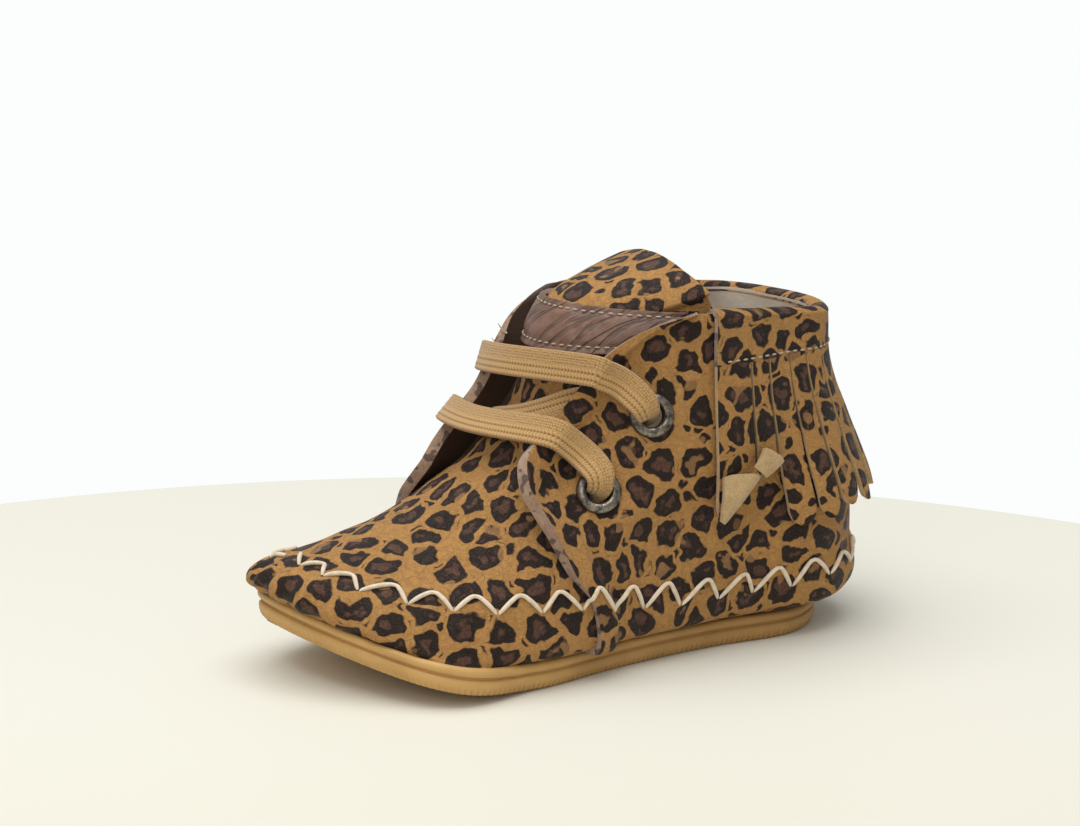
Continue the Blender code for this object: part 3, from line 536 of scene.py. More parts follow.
def flat_skin(points, rows=26, columns=61):
    """Places on the skin laid flat with little stretch, in millimetres, read from a coarser sheet's map."""
    picks = [np.unique(np.linspace(0, size - 1, count).astype(int))
             for size, count in zip(points.shape[:2], (rows, columns))]
    coarse = points[np.ix_(*picks)]
    names = np.stack(np.meshgrid(np.arange(len(picks[1])), np.arange(len(picks[0]))), axis=-1)
    sheet = sheet_of(coarse, names.astype(float))
    names_of = sheet.loops.layers.uv["skin"]
    corners = [tuple(round(value) for value in loop[names_of].uv)
               for face in sheet.faces for loop in face.loops]
    mesh = bpy.data.meshes.new("flat_skin")
    sheet.to_mesh(mesh)
    sheet.free()
    made = bpy.data.objects.new("flat_skin", mesh)
    bpy.context.scene.collection.objects.link(made)
    bpy.context.view_layer.objects.active = made
    made.select_set(True)
    bpy.ops.object.mode_set(mode="EDIT")
    bpy.ops.mesh.select_all(action="SELECT")
    bpy.ops.uv.unwrap(method="MINIMUM_STRETCH", margin=0.0)
    bpy.ops.object.mode_set(mode="OBJECT")
    flat = np.zeros((*coarse.shape[:2], 2))
    for (column, row), corner in zip(corners, mesh.uv_layers["skin"].data):
        flat[row, column] = corner.uv
    bpy.data.objects.remove(made, do_unlink=True)
    bpy.data.meshes.remove(mesh)
    up, along = coarse[1:, :-1] - coarse[:-1, :-1], coarse[:-1, 1:] - coarse[:-1, :-1]
    true_area = np.linalg.norm(np.cross(up, along), axis=-1).sum()
    up, along = flat[1:, :-1] - flat[:-1, :-1], flat[:-1, 1:] - flat[:-1, :-1]
    flat_area = np.abs(up[..., 0] * along[..., 1] - up[..., 1] * along[..., 0]).sum()
    fine = read_table(picks[0], flat, np.arange(points.shape[0]))
    fine = read_table(picks[1], fine.transpose(1, 0, 2), np.arange(points.shape[1])).transpose(1, 0, 2)
    return fine * math.sqrt(true_area / flat_area) / MM


# Meshes

def grid(rows, columns):
    """Shares of the way up a sheet, from 0 to 1, and across it, from -1 to 1."""
    return np.meshgrid(np.linspace(0, 1, rows), np.linspace(-1, 1, columns), indexing="ij")


def sheet_of(points, skin, keep=None):
    """A bmesh grid whose corners go to the given places, with the skin's lengths as its UV map."""
    rows, columns = points.shape[:2]
    sheet = bmesh.new()
    bmesh.ops.create_grid(sheet, x_segments=columns - 1, y_segments=rows - 1, size=0.5)
    layer = sheet.loops.layers.uv.new("skin")
    places = {}
    for vertex in sheet.verts:
        column = round((vertex.co.x + 0.5) * (columns - 1))
        row = round((vertex.co.y + 0.5) * (rows - 1))
        places[vertex] = (row, column)
    for face in sheet.faces:
        for loop in face.loops:
            loop[layer].uv = skin[places[loop.vert]]
    for vertex, place in places.items():
        vertex.co = points[place]
    if keep is not None:
        gone = [face for face in sheet.faces if not keep(face.calc_center_median())]
        bmesh.ops.delete(sheet, geom=gone, context="FACES")
    return sheet


def turn_outward(sheet, middle):
    """Flips a sheet whose faces look towards the given point."""
    sheet.normal_update()
    lean = sum((face.calc_center_median() - middle).dot(face.normal) * face.calc_area()
               for face in sheet.faces)
    if lean < 0:
        bmesh.ops.reverse_faces(sheet, faces=sheet.faces)


def new_piece(name, sheet, materials, replaced=()):
    """The finished bmesh as an object that rides on the boot."""
    mesh = bpy.data.meshes.new(name)
    sheet.to_mesh(mesh)
    sheet.free()
    for material in materials:
        mesh.materials.append(material)
    mesh.shade_smooth()
    piece = bpy.data.objects.new(name, mesh)
    bpy.context.scene.collection.objects.link(piece)
    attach(piece, "root")
    if replaced:
        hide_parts(*replaced)
    return piece


def give_wall(piece, thickness, inner, rim):
    """Inward thickness for a sheet. Inner face and rim take those places in its list of materials."""
    wall = piece.modifiers.new("wall", "SOLIDIFY")
    wall.thickness = thickness
    wall.offset = -1.0
    wall.use_rim = True
    wall.use_even_offset = False
    wall.material_offset = inner
    wall.material_offset_rim = rim


def round_edges(piece, width, segments=2):
    bevel = piece.modifiers.new("soft edges", "BEVEL")
    bevel.width = width
    bevel.segments = segments
    bevel.limit_method = "ANGLE"
    bevel.angle_limit = math.radians(50)
    bevel.profile = 0.5
    bevel.material = -1


def close_ends(sheet):
    loose = [edge for edge in sheet.edges if edge.is_boundary]
    bmesh.ops.holes_fill(sheet, edges=loose, sides=0)


def sweep(route, across, facing, widths, heights, section):
    """Points of a closed section carried along a route. Its columns are across and height, from -1 to 1."""
    section = np.array(section)
    points = route[:, None, :] + across[:, None, :] * (widths[:, None] / 2 * section[:, 0])[..., None]
    return points + facing[:, None, :] * (heights[:, None] / 2 * section[:, 1])[..., None]


def frames_along(places, normals, samples):
    """A smooth route through the places, with its side and upward directions."""
    stations = np.arange(len(places), dtype=float)
    at = np.linspace(0, len(places) - 1, samples)
    route = read_table(stations, places, at)
    facing = read_table(stations, normals, at)
    weights = np.hanning(samples // 9 // 2 * 2 + 3)[1:-1]
    half = len(weights) // 2
    for values in (route, facing):
        for axis in range(3):
            padded = np.pad(values[:, axis], half, mode="reflect", reflect_type="odd")
            values[:, axis] = np.convolve(padded, weights / weights.sum(), mode="valid")
    ahead = np.gradient(route, at, axis=0)
    ahead /= np.linalg.norm(ahead, axis=-1, keepdims=True)
    across = np.cross(facing, ahead)
    across /= np.linalg.norm(across, axis=-1, keepdims=True)
    return route, across, np.cross(ahead, across), at


def eyelet_places():
    """Word for the side, row, middle, outward direction and node of each eyelet."""
    places = []
    for side, word in ((1, "outer"), (-1, "inner")):
        for row, (level, share) in EYELETS.items():
            turn = side * float(turn_of(share))
            along = share / float(edge_share(level, side))
            place = lifted(level, np.array(turn), quarter_height(level, along, side))
            places.append((Vector(place), Vector(outward(level, np.array(turn))), f"eyelet_{word}_{row}"))
    return places


# Materials

def feed(tree, socket, value):
    """Links a socket to another node's, or gives it a value of its own."""
    if isinstance(value, bpy.types.NodeSocket):
        tree.links.new(value, socket)
    else:
        socket.default_value = value


def add_node(tree, kind, inputs=None, **settings):
    made = tree.nodes.new(kind)
    for name, value in settings.items():
        setattr(made, name, value)
    for name, value in (inputs or {}).items():
        feed(tree, made.inputs[name], value)
    return made


def maths(tree, operation, first, second=0.0, third=0.0):
    made = tree.nodes.new("ShaderNodeMath")
    made.operation = operation
    for socket, value in zip(made.inputs, (first, second, third)):
        feed(tree, socket, value)
    return made.outputs[0]


def vector_maths(tree, operation, first, second, scale=1.0):
    made = tree.nodes.new("ShaderNodeVectorMath")
    made.operation = operation
    for socket, value in zip(made.inputs, (first, second)):
        feed(tree, socket, value)
    if operation == "SCALE":
        made.inputs["Scale"].default_value = scale
    return made.outputs[0]


def ease(tree, value, start, end, low=0.0, high=1.0):
    """The value eased from low at start to high at end."""
    made = add_node(tree, "ShaderNodeMapRange", {"Value": value, "From Min": start, "From Max": end,
                                                 "To Min": low, "To Max": high},
                    interpolation_type="SMOOTHSTEP")
    return made.outputs["Result"]


def mix_colours(tree, share, first, second, blend="MIX"):
    made = add_node(tree, "ShaderNodeMix", data_type="RGBA", blend_type=blend)
    feed(tree, made.inputs[0], share)
    for socket, colour in ((made.inputs[6], first), (made.inputs[7], second)):
        feed(tree, socket, colour if isinstance(colour, bpy.types.NodeSocket) else (*colour[:3], 1.0))
    return made.outputs[2]


def noise_of(tree, vector, scale, detail=2.0, roughness=0.5, distortion=0.0, output="Fac"):
    made = add_node(tree, "ShaderNodeTexNoise", {"Vector": vector, "Scale": scale, "Detail": detail,
                                                 "Roughness": roughness, "Distortion": distortion})
    return made.outputs[output]


def ridges_of(tree, vector, *settings):
    """How far a noise is from its middle value, which is 0 along winding lines."""
    return maths(tree, "ABSOLUTE", maths(tree, "SUBTRACT", noise_of(tree, vector, *settings), 0.5))


def new_group(name, inputs, outputs):
    """An empty shader group with its sockets, and its input and output nodes."""
    tree = bpy.data.node_groups.new(name, "ShaderNodeTree")
    for label, kind, default in inputs:
        socket = tree.interface.new_socket(name=label, in_out="INPUT", socket_type=f"NodeSocket{kind}")
        if default is not None:
            socket.default_value = default
    for label, kind in outputs:
        tree.interface.new_socket(name=label, in_out="OUTPUT", socket_type=f"NodeSocket{kind}")
    return tree, tree.nodes.new("NodeGroupInput").outputs, tree.nodes.new("NodeGroupOutput").inputs


def leopard_group():
    """Printed spots: a dark rim round a brown heart on a tan ground, spaced in millimetres over the skin."""
    if "leopard print" in bpy.data.node_groups:
        return bpy.data.node_groups["leopard print"]
    tree, given, out = new_group("leopard print", [
        ("Skin", "Vector", None), ("Spacing", "Float", 6.9), ("Ground", "Color", (0.5, 0.26, 0.09, 1)),
        ("Rim", "Color", (0.02, 0.013, 0.013, 1)), ("Heart", "Color", (0.09, 0.04, 0.03, 1)),
    ], [("Color", "Color"), ("Spot", "Float")])
    skin = given["Skin"]
    half = (0.5, 0.5, 0.5)
    broad = vector_maths(tree, "SUBTRACT", noise_of(tree, skin, 0.16, 1.0, output="Color"), half)
    broad = vector_maths(tree, "SCALE", broad, half, 4.2)
    ragged = vector_maths(tree, "SUBTRACT", noise_of(tree, skin, 0.50, 1.5, output="Color"), half)
    ragged = vector_maths(tree, "SCALE", ragged, half, 1.5)
    warped = vector_maths(tree, "ADD", vector_maths(tree, "ADD", skin, broad), ragged)
    rate = maths(tree, "DIVIDE", 1.0, given["Spacing"])
    cells = {}
    for feature in ("F1", "DISTANCE_TO_EDGE"):
        cells[feature] = add_node(tree, "ShaderNodeTexVoronoi", {"Vector": warped, "Scale": rate,
                                                                 "Randomness": 0.86},
                                  voronoi_dimensions="2D", feature=feature)
    chance = add_node(tree, "ShaderNodeSeparateColor", {"Color": cells["F1"].outputs["Color"]})
    to_edge = maths(tree, "MULTIPLY", cells["DISTANCE_TO_EDGE"].outputs["Distance"], given["Spacing"])
    to_middle = maths(tree, "MULTIPLY", cells["F1"].outputs["Distance"], given["Spacing"])
    vein = ease(tree, noise_of(tree, skin, 0.30, 1.0), 0.3, 0.7, 0.34, 1.0)
    reach = maths(tree, "SUBTRACT", 3.65, to_middle)
    depth = maths(tree, "SMOOTH_MIN", maths(tree, "SUBTRACT", to_edge, vein), reach, 2.0)
    specks = add_node(tree, "ShaderNodeTexVoronoi", {"Vector": warped, "Scale": 0.27, "Randomness": 0.9},
                      voronoi_dimensions="2D")
    picked = add_node(tree, "ShaderNodeSeparateColor", {"Color": specks.outputs["Color"]}).outputs["Red"]
    speck = maths(tree, "SUBTRACT", maths(tree, "MULTIPLY", ease(tree, picked, 0.5, 0.6), 1.1),
                  maths(tree, "MULTIPLY", specks.outputs["Distance"], 1.0 / 0.27))
    speck = maths(tree, "MINIMUM", speck, maths(tree, "SUBTRACT", -0.75, depth))
    depth = maths(tree, "MAXIMUM", depth, speck)
    spot = ease(tree, depth, -0.16, 0.18)
    width = ease(tree, noise_of(tree, skin, 0.36, 2.0), 0.34, 0.66, 0.7, 2.5)
    inside = ease(tree, maths(tree, "SUBTRACT", depth, width), -0.3, 0.5, 0.0, 0.9)
    open_rim = maths(tree, "MULTIPLY", ease(tree, noise_of(tree, skin, 0.21, 1.0), 0.62, 0.66),
                     ease(tree, chance.outputs["Green"], 0.45, 0.55))
    mottle = noise_of(tree, skin, 1.3, 4.0, 0.65)
    tan_heart = mix_colours(tree, 0.5, given["Heart"], given["Ground"])
    heart = mix_colours(tree, ease(tree, mottle, 0.35, 0.65, 0.0, 0.8), given["Heart"],
                        mix_colours(tree, 0.16, given["Heart"], given["Ground"]))
    heart = mix_colours(tree, ease(tree, chance.outputs["Blue"], 0.86, 0.92), heart, tan_heart)
    streak = ridges_of(tree, skin, 0.8, 3.0, 0.6, 0.8)
    dark = mix_colours(tree, ease(tree, streak, 0.0, 0.02, 0.5, 0.0), given["Rim"], given["Heart"])
    deeper = mix_colours(tree, 1.0, given["Ground"], (0.60, 0.50, 0.40), "MULTIPLY")
    ground = mix_colours(tree, ease(tree, noise_of(tree, skin, 0.9, 5.0, 0.7), 0.3, 0.75, 0.0, 0.5),
                         given["Ground"], deeper)
    wear = ease(tree, noise_of(tree, skin, 3.5, 3.0, 0.7), 0.55, 0.8, 0.0, 0.2)
    faded = mix_colours(tree, wear, dark, ground)
    filled = mix_colours(tree, inside, faded, heart)
    filled = mix_colours(tree, open_rim, filled, tan_heart)
    colour = mix_colours(tree, spot, ground, filled)
    tree.links.new(colour, out["Color"])
    tree.links.new(spot, out["Spot"])
    return tree


def nap_group():
    """Height of suede's short nap and of the shallow wrinkles in the skin under it, read in millimetres."""
    if "suede nap" in bpy.data.node_groups:
        return bpy.data.node_groups["suede nap"]
    tree, given, out = new_group("suede nap", [("Skin", "Vector", None), ("Wrinkles", "Float", 1.0)],
                                 [("Height", "Float"), ("Shade", "Float")])
    skin = given["Skin"]
    nap = noise_of(tree, skin, 5.0, 3.0, 0.7)
    folds = ease(tree, ridges_of(tree, skin, 0.55, 3.0, 0.55, 1.2), 0.0, 0.10)
    height = maths(tree, "ADD", maths(tree, "MULTIPLY", nap, 0.35),
                   maths(tree, "MULTIPLY", maths(tree, "MULTIPLY", folds, given["Wrinkles"]), 0.55))
    tree.links.new(height, out["Height"])
    tree.links.new(ease(tree, nap, 0.35, 0.7, 0.86, 1.08), out["Shade"])
    return tree


def new_material(name, roughness, metallic=0.0, **constants):
    """A material and its tree, with the constants set on the shader's own sockets."""
    material = bpy.data.materials.new(name)
    material.use_nodes = True
    tree = material.node_tree
    shader = tree.nodes["Principled BSDF"]
    shader.inputs["Roughness"].default_value = roughness
    shader.inputs["Metallic"].default_value = metallic
    for socket, value in constants.items():
        shader.inputs[socket.replace("_", " ")].default_value = value
    return material, tree, shader


def add_bump(tree, shader, height, distance, strength=1.0):
    bump = add_node(tree, "ShaderNodeBump", {"Height": height, "Distance": distance, "Strength": strength})
    tree.links.new(bump.outputs["Normal"], shader.inputs["Normal"])


def skin_socket(tree):
    return add_node(tree, "ShaderNodeUVMap", uv_map="skin").outputs["UV"]


def object_socket(tree, scale):
    """Object coordinates in units of 1/scale metres."""
    place = add_node(tree, "ShaderNodeTexCoord").outputs["Object"]
    return vector_maths(tree, "SCALE", place, (0.0, 0.0, 0.0), scale)


def group_node(tree, group, inputs):
    made = tree.nodes.new("ShaderNodeGroup")
    made.node_tree = group
    for name, value in inputs.items():
        feed(tree, made.inputs[name], value)
    return made.outputs


def once(build):
    """Builds a material the first time that it is asked for."""
    made = {}

    def get():
        if "material" not in made:
            made["material"] = build()
        return made["material"]

    return get


@once
def leopard_suede():
    material, tree, shader = new_material("leopard_suede", 0.8, Sheen_Weight=0.04, Sheen_Roughness=0.45,
                                          Specular_IOR_Level=0.24)
    shader.inputs["Specular Tint"].default_value = (1.0, 0.80, 0.62, 1.0)
    skin = skin_socket(tree)
    spots = group_node(tree, leopard_group(), {
        "Skin": skin, "Spacing": sizes().spot, "Ground": (*colours().ground, 1), "Rim": (*colours().rim, 1),
        "Heart": (*colours().heart, 1),
    })
    nap = group_node(tree, nap_group(), {"Skin": skin, "Wrinkles": 1.0})
    colour = mix_colours(tree, 1.0, spots["Color"], nap["Shade"], "MULTIPLY")
    tree.links.new(colour, shader.inputs["Base Color"])
    gloss = ease(tree, spots["Spot"], 0.0, 1.0, 0.80, 0.50)
    tree.links.new(gloss, shader.inputs["Roughness"])
    height = maths(tree, "SUBTRACT", nap["Height"], maths(tree, "MULTIPLY", spots["Spot"], 0.12))
    add_bump(tree, shader, height, 0.22 * MM, 1.0)
    return material


def plain_suede(name, colour, mottle, distance, specks=0.0):
    """Suede without the print's pattern: nap, mottling and a share of dark specks on one colour."""
    material, tree, shader = new_material(name, 0.9, Sheen_Weight=0.3, Sheen_Roughness=0.5)
    place = object_socket(tree, 1000.0)
    nap = noise_of(tree, place, 2.6, 4.0, 0.7)
    patches = noise_of(tree, place, 0.5, 3.0, 0.6)
    share = ease(tree, patches, 0.3, 0.7, 0.0, mottle)
    darker = mix_colours(tree, 1.0, (*colour, 1), (0.55, 0.48, 0.42), "MULTIPLY")
    base = mix_colours(tree, share, (*colour, 1), darker)
    dotted = ease(tree, noise_of(tree, place, 0.38, 1.5), 0.55, 0.60, 0.0, specks)
    base = mix_colours(tree, dotted, base, (0.055, 0.030, 0.025))
    # Painted shade and highlight of the nap: darker where the nap is low, lighter where it is high
    base = mix_colours(tree, 1.0, base, ease(tree, nap, 0.3, 0.7, 0.78, 1.1), "MULTIPLY")
    tree.links.new(base, shader.inputs["Base Color"])
    add_bump(tree, shader, nap, distance)
    return material


@once
def raw_edge():
    return plain_suede("raw_edge", tuple(colours().raw), 0.6, 0.2 * MM, 0.8)


@once
def flesh_side():
    return plain_suede("flesh_side", tuple(colours().flesh), 0.35, 0.15 * MM)


def soft_lining(name, facing):
    """Pale lining leather with fine pores. With facing set, it is painted dark brown in front of the ankle as
    painted shade inside the quarters' front edges.
    """
    material, tree, shader = new_material(name, 0.62, Specular_IOR_Level=0.35)
    place = object_socket(tree, 1000.0)
    pores = add_node(tree, "ShaderNodeTexVoronoi", {"Vector": place, "Scale": 1.1}).outputs["Distance"]
    base = mix_colours(tree, ease(tree, noise_of(tree, place, 0.25, 3.0), 0.3, 0.7, 0.0, 0.35),
                       (*colours().lining, 1), tuple(0.72 * value for value in colours().lining))
    if facing:
        ahead = add_node(tree, "ShaderNodeSeparateXYZ", {"Vector": place}).outputs["Y"]
        # Painted shade: from 27 to 37 mm towards the toe the lining fades to a painted dark brown
        base = mix_colours(tree, ease(tree, ahead, -37.0, -27.0, 1.0, 0.0), base, (0.085, 0.052, 0.036))
    tree.links.new(base, shader.inputs["Base Color"])
    add_bump(tree, shader, pores, 0.05 * MM)
    return material


@once
def lining_leather():
    return soft_lining("lining_leather", False)


# Lining of the quarters, with painted shade at its front
@once
def quarter_lining():
    return soft_lining("quarter_lining", True)


@once
def strap_leather():
    material, tree, shader = new_material("strap_leather", 0.42, Specular_IOR_Level=0.5, Coat_Weight=0.3,
                                          Coat_Roughness=0.35)
    skin = skin_socket(tree)
    grain = add_node(tree, "ShaderNodeTexVoronoi", {"Vector": skin, "Scale": 2.3},
                     feature="DISTANCE_TO_EDGE").outputs["Distance"]
    bent = vector_maths(tree, "MULTIPLY", skin, (0.24, 0.060, 1.0))
    fold = ease(tree, ridges_of(tree, bent, 1.0, 0.8, 0.4, 1.0), 0.0, 0.10)
    # Painted shade in the creases: the colour is halved along the lines that the bump below sinks
    painted_shade = mix_colours(tree, fold, tuple(0.5 * value for value in colours().strap), (*colours().strap, 1))
    patchy = mix_colours(tree, ease(tree, noise_of(tree, skin, 0.35, 4.0, 0.6), 0.35, 0.7, 0.0, 0.35), painted_shade,
                         tuple(min(1.0, 1.9 * value) for value in colours().strap))
    tree.links.new(patchy, shader.inputs["Base Color"])
    height = maths(tree, "ADD", fold, maths(tree, "MULTIPLY", ease(tree, grain, 0.0, 0.12), 0.12))
    add_bump(tree, shader, height, 0.35 * MM)
    return material


@once
def thread_cotton():
    material, tree, shader = new_material("thread_cotton", 0.75, Sheen_Weight=0.2)
    place = object_socket(tree, 1000.0)
    fibres = noise_of(tree, place, 3.0, 3.0, 0.6)
    base = mix_colours(tree, ease(tree, noise_of(tree, place, 0.7, 2.0), 0.35, 0.75, 0.0, 0.55),
                       (*colours().thread, 1), tuple(value * share for value, share in
                                                     zip(colours().thread, (0.72, 0.62, 0.5))))
    tree.links.new(base, shader.inputs["Base Color"])
    add_bump(tree, shader, fibres, 0.12 * MM)
    return material


@once
def stitch_cotton():
    material, tree, shader = new_material("stitch_cotton", 0.8)
    shader.inputs["Base Color"].default_value = (*(0.56 * value for value in colours().thread), 1)
    add_bump(tree, shader, noise_of(tree, object_socket(tree, 1000.0), 4.0, 3.0), 0.06 * MM)
    return material


@once
def woven_lace():
    """Flat braid: plaited ribs along the lace, each a row of slanted stitches."""
    material, tree, shader = new_material("woven_lace", 0.82, Sheen_Weight=0.3, Sheen_Roughness=0.4)
    skin = skin_socket(tree)
    split = add_node(tree, "ShaderNodeSeparateXYZ", {"Vector": skin})
    across, along = split.outputs["X"], split.outputs["Y"]
    ribs = maths(tree, "MULTIPLY", across, LACE_RIBS / (LACE_WIDTH / MM))
    in_rib = maths(tree, "SUBTRACT", maths(tree, "FRACT", ribs), 0.5)
    crown = maths(tree, "SUBTRACT", 1.0, maths(tree, "MULTIPLY", maths(tree, "POWER", in_rib, 2.0), 4.0))
    lean = maths(tree, "MULTIPLY", maths(tree, "ABSOLUTE", in_rib), 1.1)
    stitch = maths(tree, "FRACT", maths(tree, "ADD", maths(tree, "MULTIPLY", along, 1.35), lean))
    loop = maths(tree, "SINE", maths(tree, "MULTIPLY", stitch, math.pi))
    height = maths(tree, "ADD", maths(tree, "MULTIPLY", crown, 0.6), maths(tree, "MULTIPLY", loop, 0.4))
    knots = vector_maths(tree, "MULTIPLY", skin, (1.8, 2.6, 1.0))
    fine = add_node(tree, "ShaderNodeTexVoronoi", {"Vector": knots, "Scale": 1.0, "Randomness": 0.35},
                    voronoi_dimensions="2D")
    plain = maths(tree, "SUBTRACT", 1.0, maths(tree, "MULTIPLY", fine.outputs["Distance"], 0.95))
    ribbed = ease(tree, across, 2.7, 3.5)
    height = add_node(tree, "ShaderNodeMix", {"Factor": ribbed, "A": plain, "B": height},
                      data_type="FLOAT").outputs["Result"]
    fuzz = noise_of(tree, skin, 4.0, 3.0, 0.7)
    height = maths(tree, "ADD", height, maths(tree, "MULTIPLY", fuzz, 0.3))
    # Painted shade and highlight: the colour follows the weave's height, dark in its hollows and pale on its
    # crowns
    shade = ease(tree, height, 0.25, 1.05, 0.0, 1.0)
    deep = tuple(value * share for value, share in zip(colours().lace, (0.42, 0.35, 0.28)))
    pale = tuple(min(1.0, value * 1.16) for value in colours().lace)
    base = mix_colours(tree, shade, deep, pale)
    base = mix_colours(tree, ease(tree, noise_of(tree, skin, 0.35, 2.0), 0.35, 0.7, 0.0, 0.25), base,
                       (*colours().lace, 1))
    tree.links.new(base, shader.inputs["Base Color"])
    add_bump(tree, shader, height, 0.28 * MM)
    return material


@once
def gum_rubber():
    material, tree, shader = new_material("gum_rubber", 0.5, Specular_IOR_Level=0.4, Subsurface_Weight=0.08)
    shader.inputs["Subsurface Radius"].default_value = (0.004, 0.002, 0.001)
    place = object_socket(tree, 1000.0)
    clouds = noise_of(tree, place, 0.12, 4.0, 0.55)
    dust = noise_of(tree, place, 1.6, 4.0, 0.7)
    base = mix_colours(tree, ease(tree, clouds, 0.35, 0.7, 0.0, 0.5), (*colours().rubber, 1),
                       tuple(value * share for value, share in zip(colours().rubber, (0.74, 0.70, 0.66))))
    base = mix_colours(tree, ease(tree, dust, 0.55, 0.8, 0.0, 0.3), base, (0.62, 0.47, 0.27))
    # Painted shade: the sole grows darker from 100 mm towards the toe back to the heel
    back = add_node(tree, "ShaderNodeSeparateXYZ", {"Vector": place}).outputs["Y"]
    painted_shade = mix_colours(tree, 1.0, base, (0.62, 0.56, 0.48), "MULTIPLY")
    base = mix_colours(tree, ease(tree, back, -100.0, 0.0, 0.0, 0.75), base, painted_shade)
    tree.links.new(base, shader.inputs["Base Color"])
    tree.links.new(ease(tree, dust, 0.3, 0.8, 0.42, 0.66), shader.inputs["Roughness"])
    add_bump(tree, shader, dust, 0.04 * MM)
    return material


@once
def antique_metal():
    material, tree, shader = new_material("antique_metal", 0.35, 1.0)
    place = object_socket(tree, 1000.0)
    patina = ease(tree, noise_of(tree, place, 0.9, 4.0, 0.65), 0.38, 0.68)
    base = mix_colours(tree, patina, (*colours().metal, 1), (0.07, 0.06, 0.05))
    tree.links.new(base, shader.inputs["Base Color"])
    tree.links.new(ease(tree, patina, 0.0, 1.0, 0.28, 0.62), shader.inputs["Roughness"])
    add_bump(tree, shader, noise_of(tree, place, 1.6, 3.0, 0.6), 0.12 * MM)
    return material


@once
# Near-black metal for the eyelets' bores: painted shade inside the holes
def painted_bore_shade():
    material, tree, shader = new_material("painted_bore_shade", 0.65, 0.4)
    base = mix_colours(tree, noise_of(tree, object_socket(tree, 1000.0), 1.2, 3.0), (0.022, 0.018, 0.015),
                       (0.05, 0.04, 0.032))
    tree.links.new(base, shader.inputs["Base Color"])
    return material


@once
def table_paint():
    material, tree, shader = new_material("table_paint", 0.55, Specular_IOR_Level=0.25)
    place = add_node(tree, "ShaderNodeSeparateXYZ", {"Vector": object_socket(tree, 1.0)})
    nearer = maths(tree, "SUBTRACT", place.outputs["X"], maths(tree, "MULTIPLY", place.outputs["Y"], 0.5))
    shaded = tuple(value * share for value, share in zip(colours().table, (0.90, 0.87, 0.79)))
    base = mix_colours(tree, ease(tree, nearer, 0.05, 0.32), (*colours().table, 1), shaded)
    tree.links.new(base, shader.inputs["Base Color"])
    grain = noise_of(tree, object_socket(tree, 100.0), 3.0, 3.0)
    add_bump(tree, shader, grain, 0.02 * MM, 0.3)
    return material


# Pieces

class BOOT_OT_quarters(bpy.types.Operator):
    """Both quarters as one sheet round the heel, from one raw facing edge to the other"""

    bl_idname = "boot.quarters"
    bl_label = "Quarters"

    rows = 120
    columns = 341

    def execute(self, context):
        up = QUARTER_TOP * np.linspace(0, 1, self.rows) ** 1.08
        level, across = np.meshgrid(up, np.linspace(-1, 1, self.columns), indexing="ij")
        side = np.where(across >= 0, 1, -1)
        edge = edge_share(level, side)
        turn = across * turn_of(edge)
        near_edge = np.clip((np.abs(across) - CORNER_FALL_START) / (1 - CORNER_FALL_START), 0, 1)
        level = level * (1 - CORNER_FALL * near_edge**2 * (level / QUARTER_TOP) ** 8)
        along = share_of(turn) / edge
        height = quarter_height(level, along, side)
        skin = flat_skin(lifted(level, turn, height))
        points = lifted(level, turn, height + softness(level, turn))
        holes = [place for place, _, _ in eyelet_places()]

        def keep(middle):
            return all((middle - hole).length > EYELET_HOLE / 2 + EYELET_HOLE_EASE for hole in holes)

        sheet = sheet_of(points, skin, keep)
        turn_outward(sheet, MIDDLE)
        piece = new_piece("suede_quarters", sheet, [leopard_suede(), quarter_lining(), raw_edge()],
                          ["upper"])
        self.thin_corners(piece)
        give_wall(piece, QUARTER_SHEET, 1, 2)
        piece.modifiers["wall"].vertex_group = "wall"
        round_edges(piece, SUEDE_SOFT_EDGE)
        return {"FINISHED"}

    def thin_corners(self, piece):
        """A group of weights that thins the wall towards both top front corners."""
        group = piece.vertex_groups.new(name="wall")
        for vertex in piece.data.vertices:
            up = np.clip((vertex.co.z - THIN_HEIGHT) / THIN_CHANGE, 0, 1)
            ahead = np.clip((-vertex.co.y - THIN_AHEAD) / THIN_CHANGE, 0, 1)
            group.add([vertex.index], float(1 - THIN_LOSS * up * ahead), "REPLACE")


class BOOT_OT_vamp(bpy.types.Operator):
    """The vamp and the tongue that it runs into, as one sheet under both quarters"""

    bl_idname = "boot.vamp"
    bl_label = "Vamp and tongue"

    rows = 150
    columns = 261
    vamp_share = 0.60

    def execute(self, context):
        way, across = grid(self.rows, self.columns)
        on_vamp = np.clip(way / self.vamp_share, 0, 1)
        on_tongue = np.clip((way - self.vamp_share) / (1 - self.vamp_share), 0, 1)
        flat = TONGUE_BOTTOM * on_vamp + (TONGUE_SIDE_TOP - TONGUE_BOTTOM) * on_tongue
        level = flat + read_table(TONGUE_TOP[:, 0], TONGUE_TOP[:, 1], across) * on_tongue
        side = np.where(across <= 0, 1, -1)
        edge = edge_share(flat, side)
        margin = math.pi - turn_of(TONGUE_UNDER * edge)
        turn = side * (math.pi - np.abs(across) * margin)
        along = share_of(turn) / edge
        easing = flap_ease(along, side)
        deeper = between(flat, *UNDER_QUARTER_LEVELS)
        under = QUARTER_WALL + CLEAR + (UNDER_QUARTER - QUARTER_WALL - CLEAR) * deeper
        drop = TONGUE_DROP * between(flat, *TONGUE_DROP_LEVELS)
        height = -under * (1 - easing) - drop * easing
        skin = flat_skin(lifted(level, turn, height))
        points = lifted(level, turn, height + softness(level, turn))
        sheet = sheet_of(points, skin + VAMP_PRINT)
        turn_outward(sheet, MIDDLE)
        piece = new_piece("suede_vamp_tongue", sheet, [leopard_suede(), lining_leather(), raw_edge()],
                          ["tongue"])
        give_wall(piece, TONGUE_SHEET, 1, 2)
        round_edges(piece, SUEDE_SOFT_EDGE)
        return {"FINISHED"}


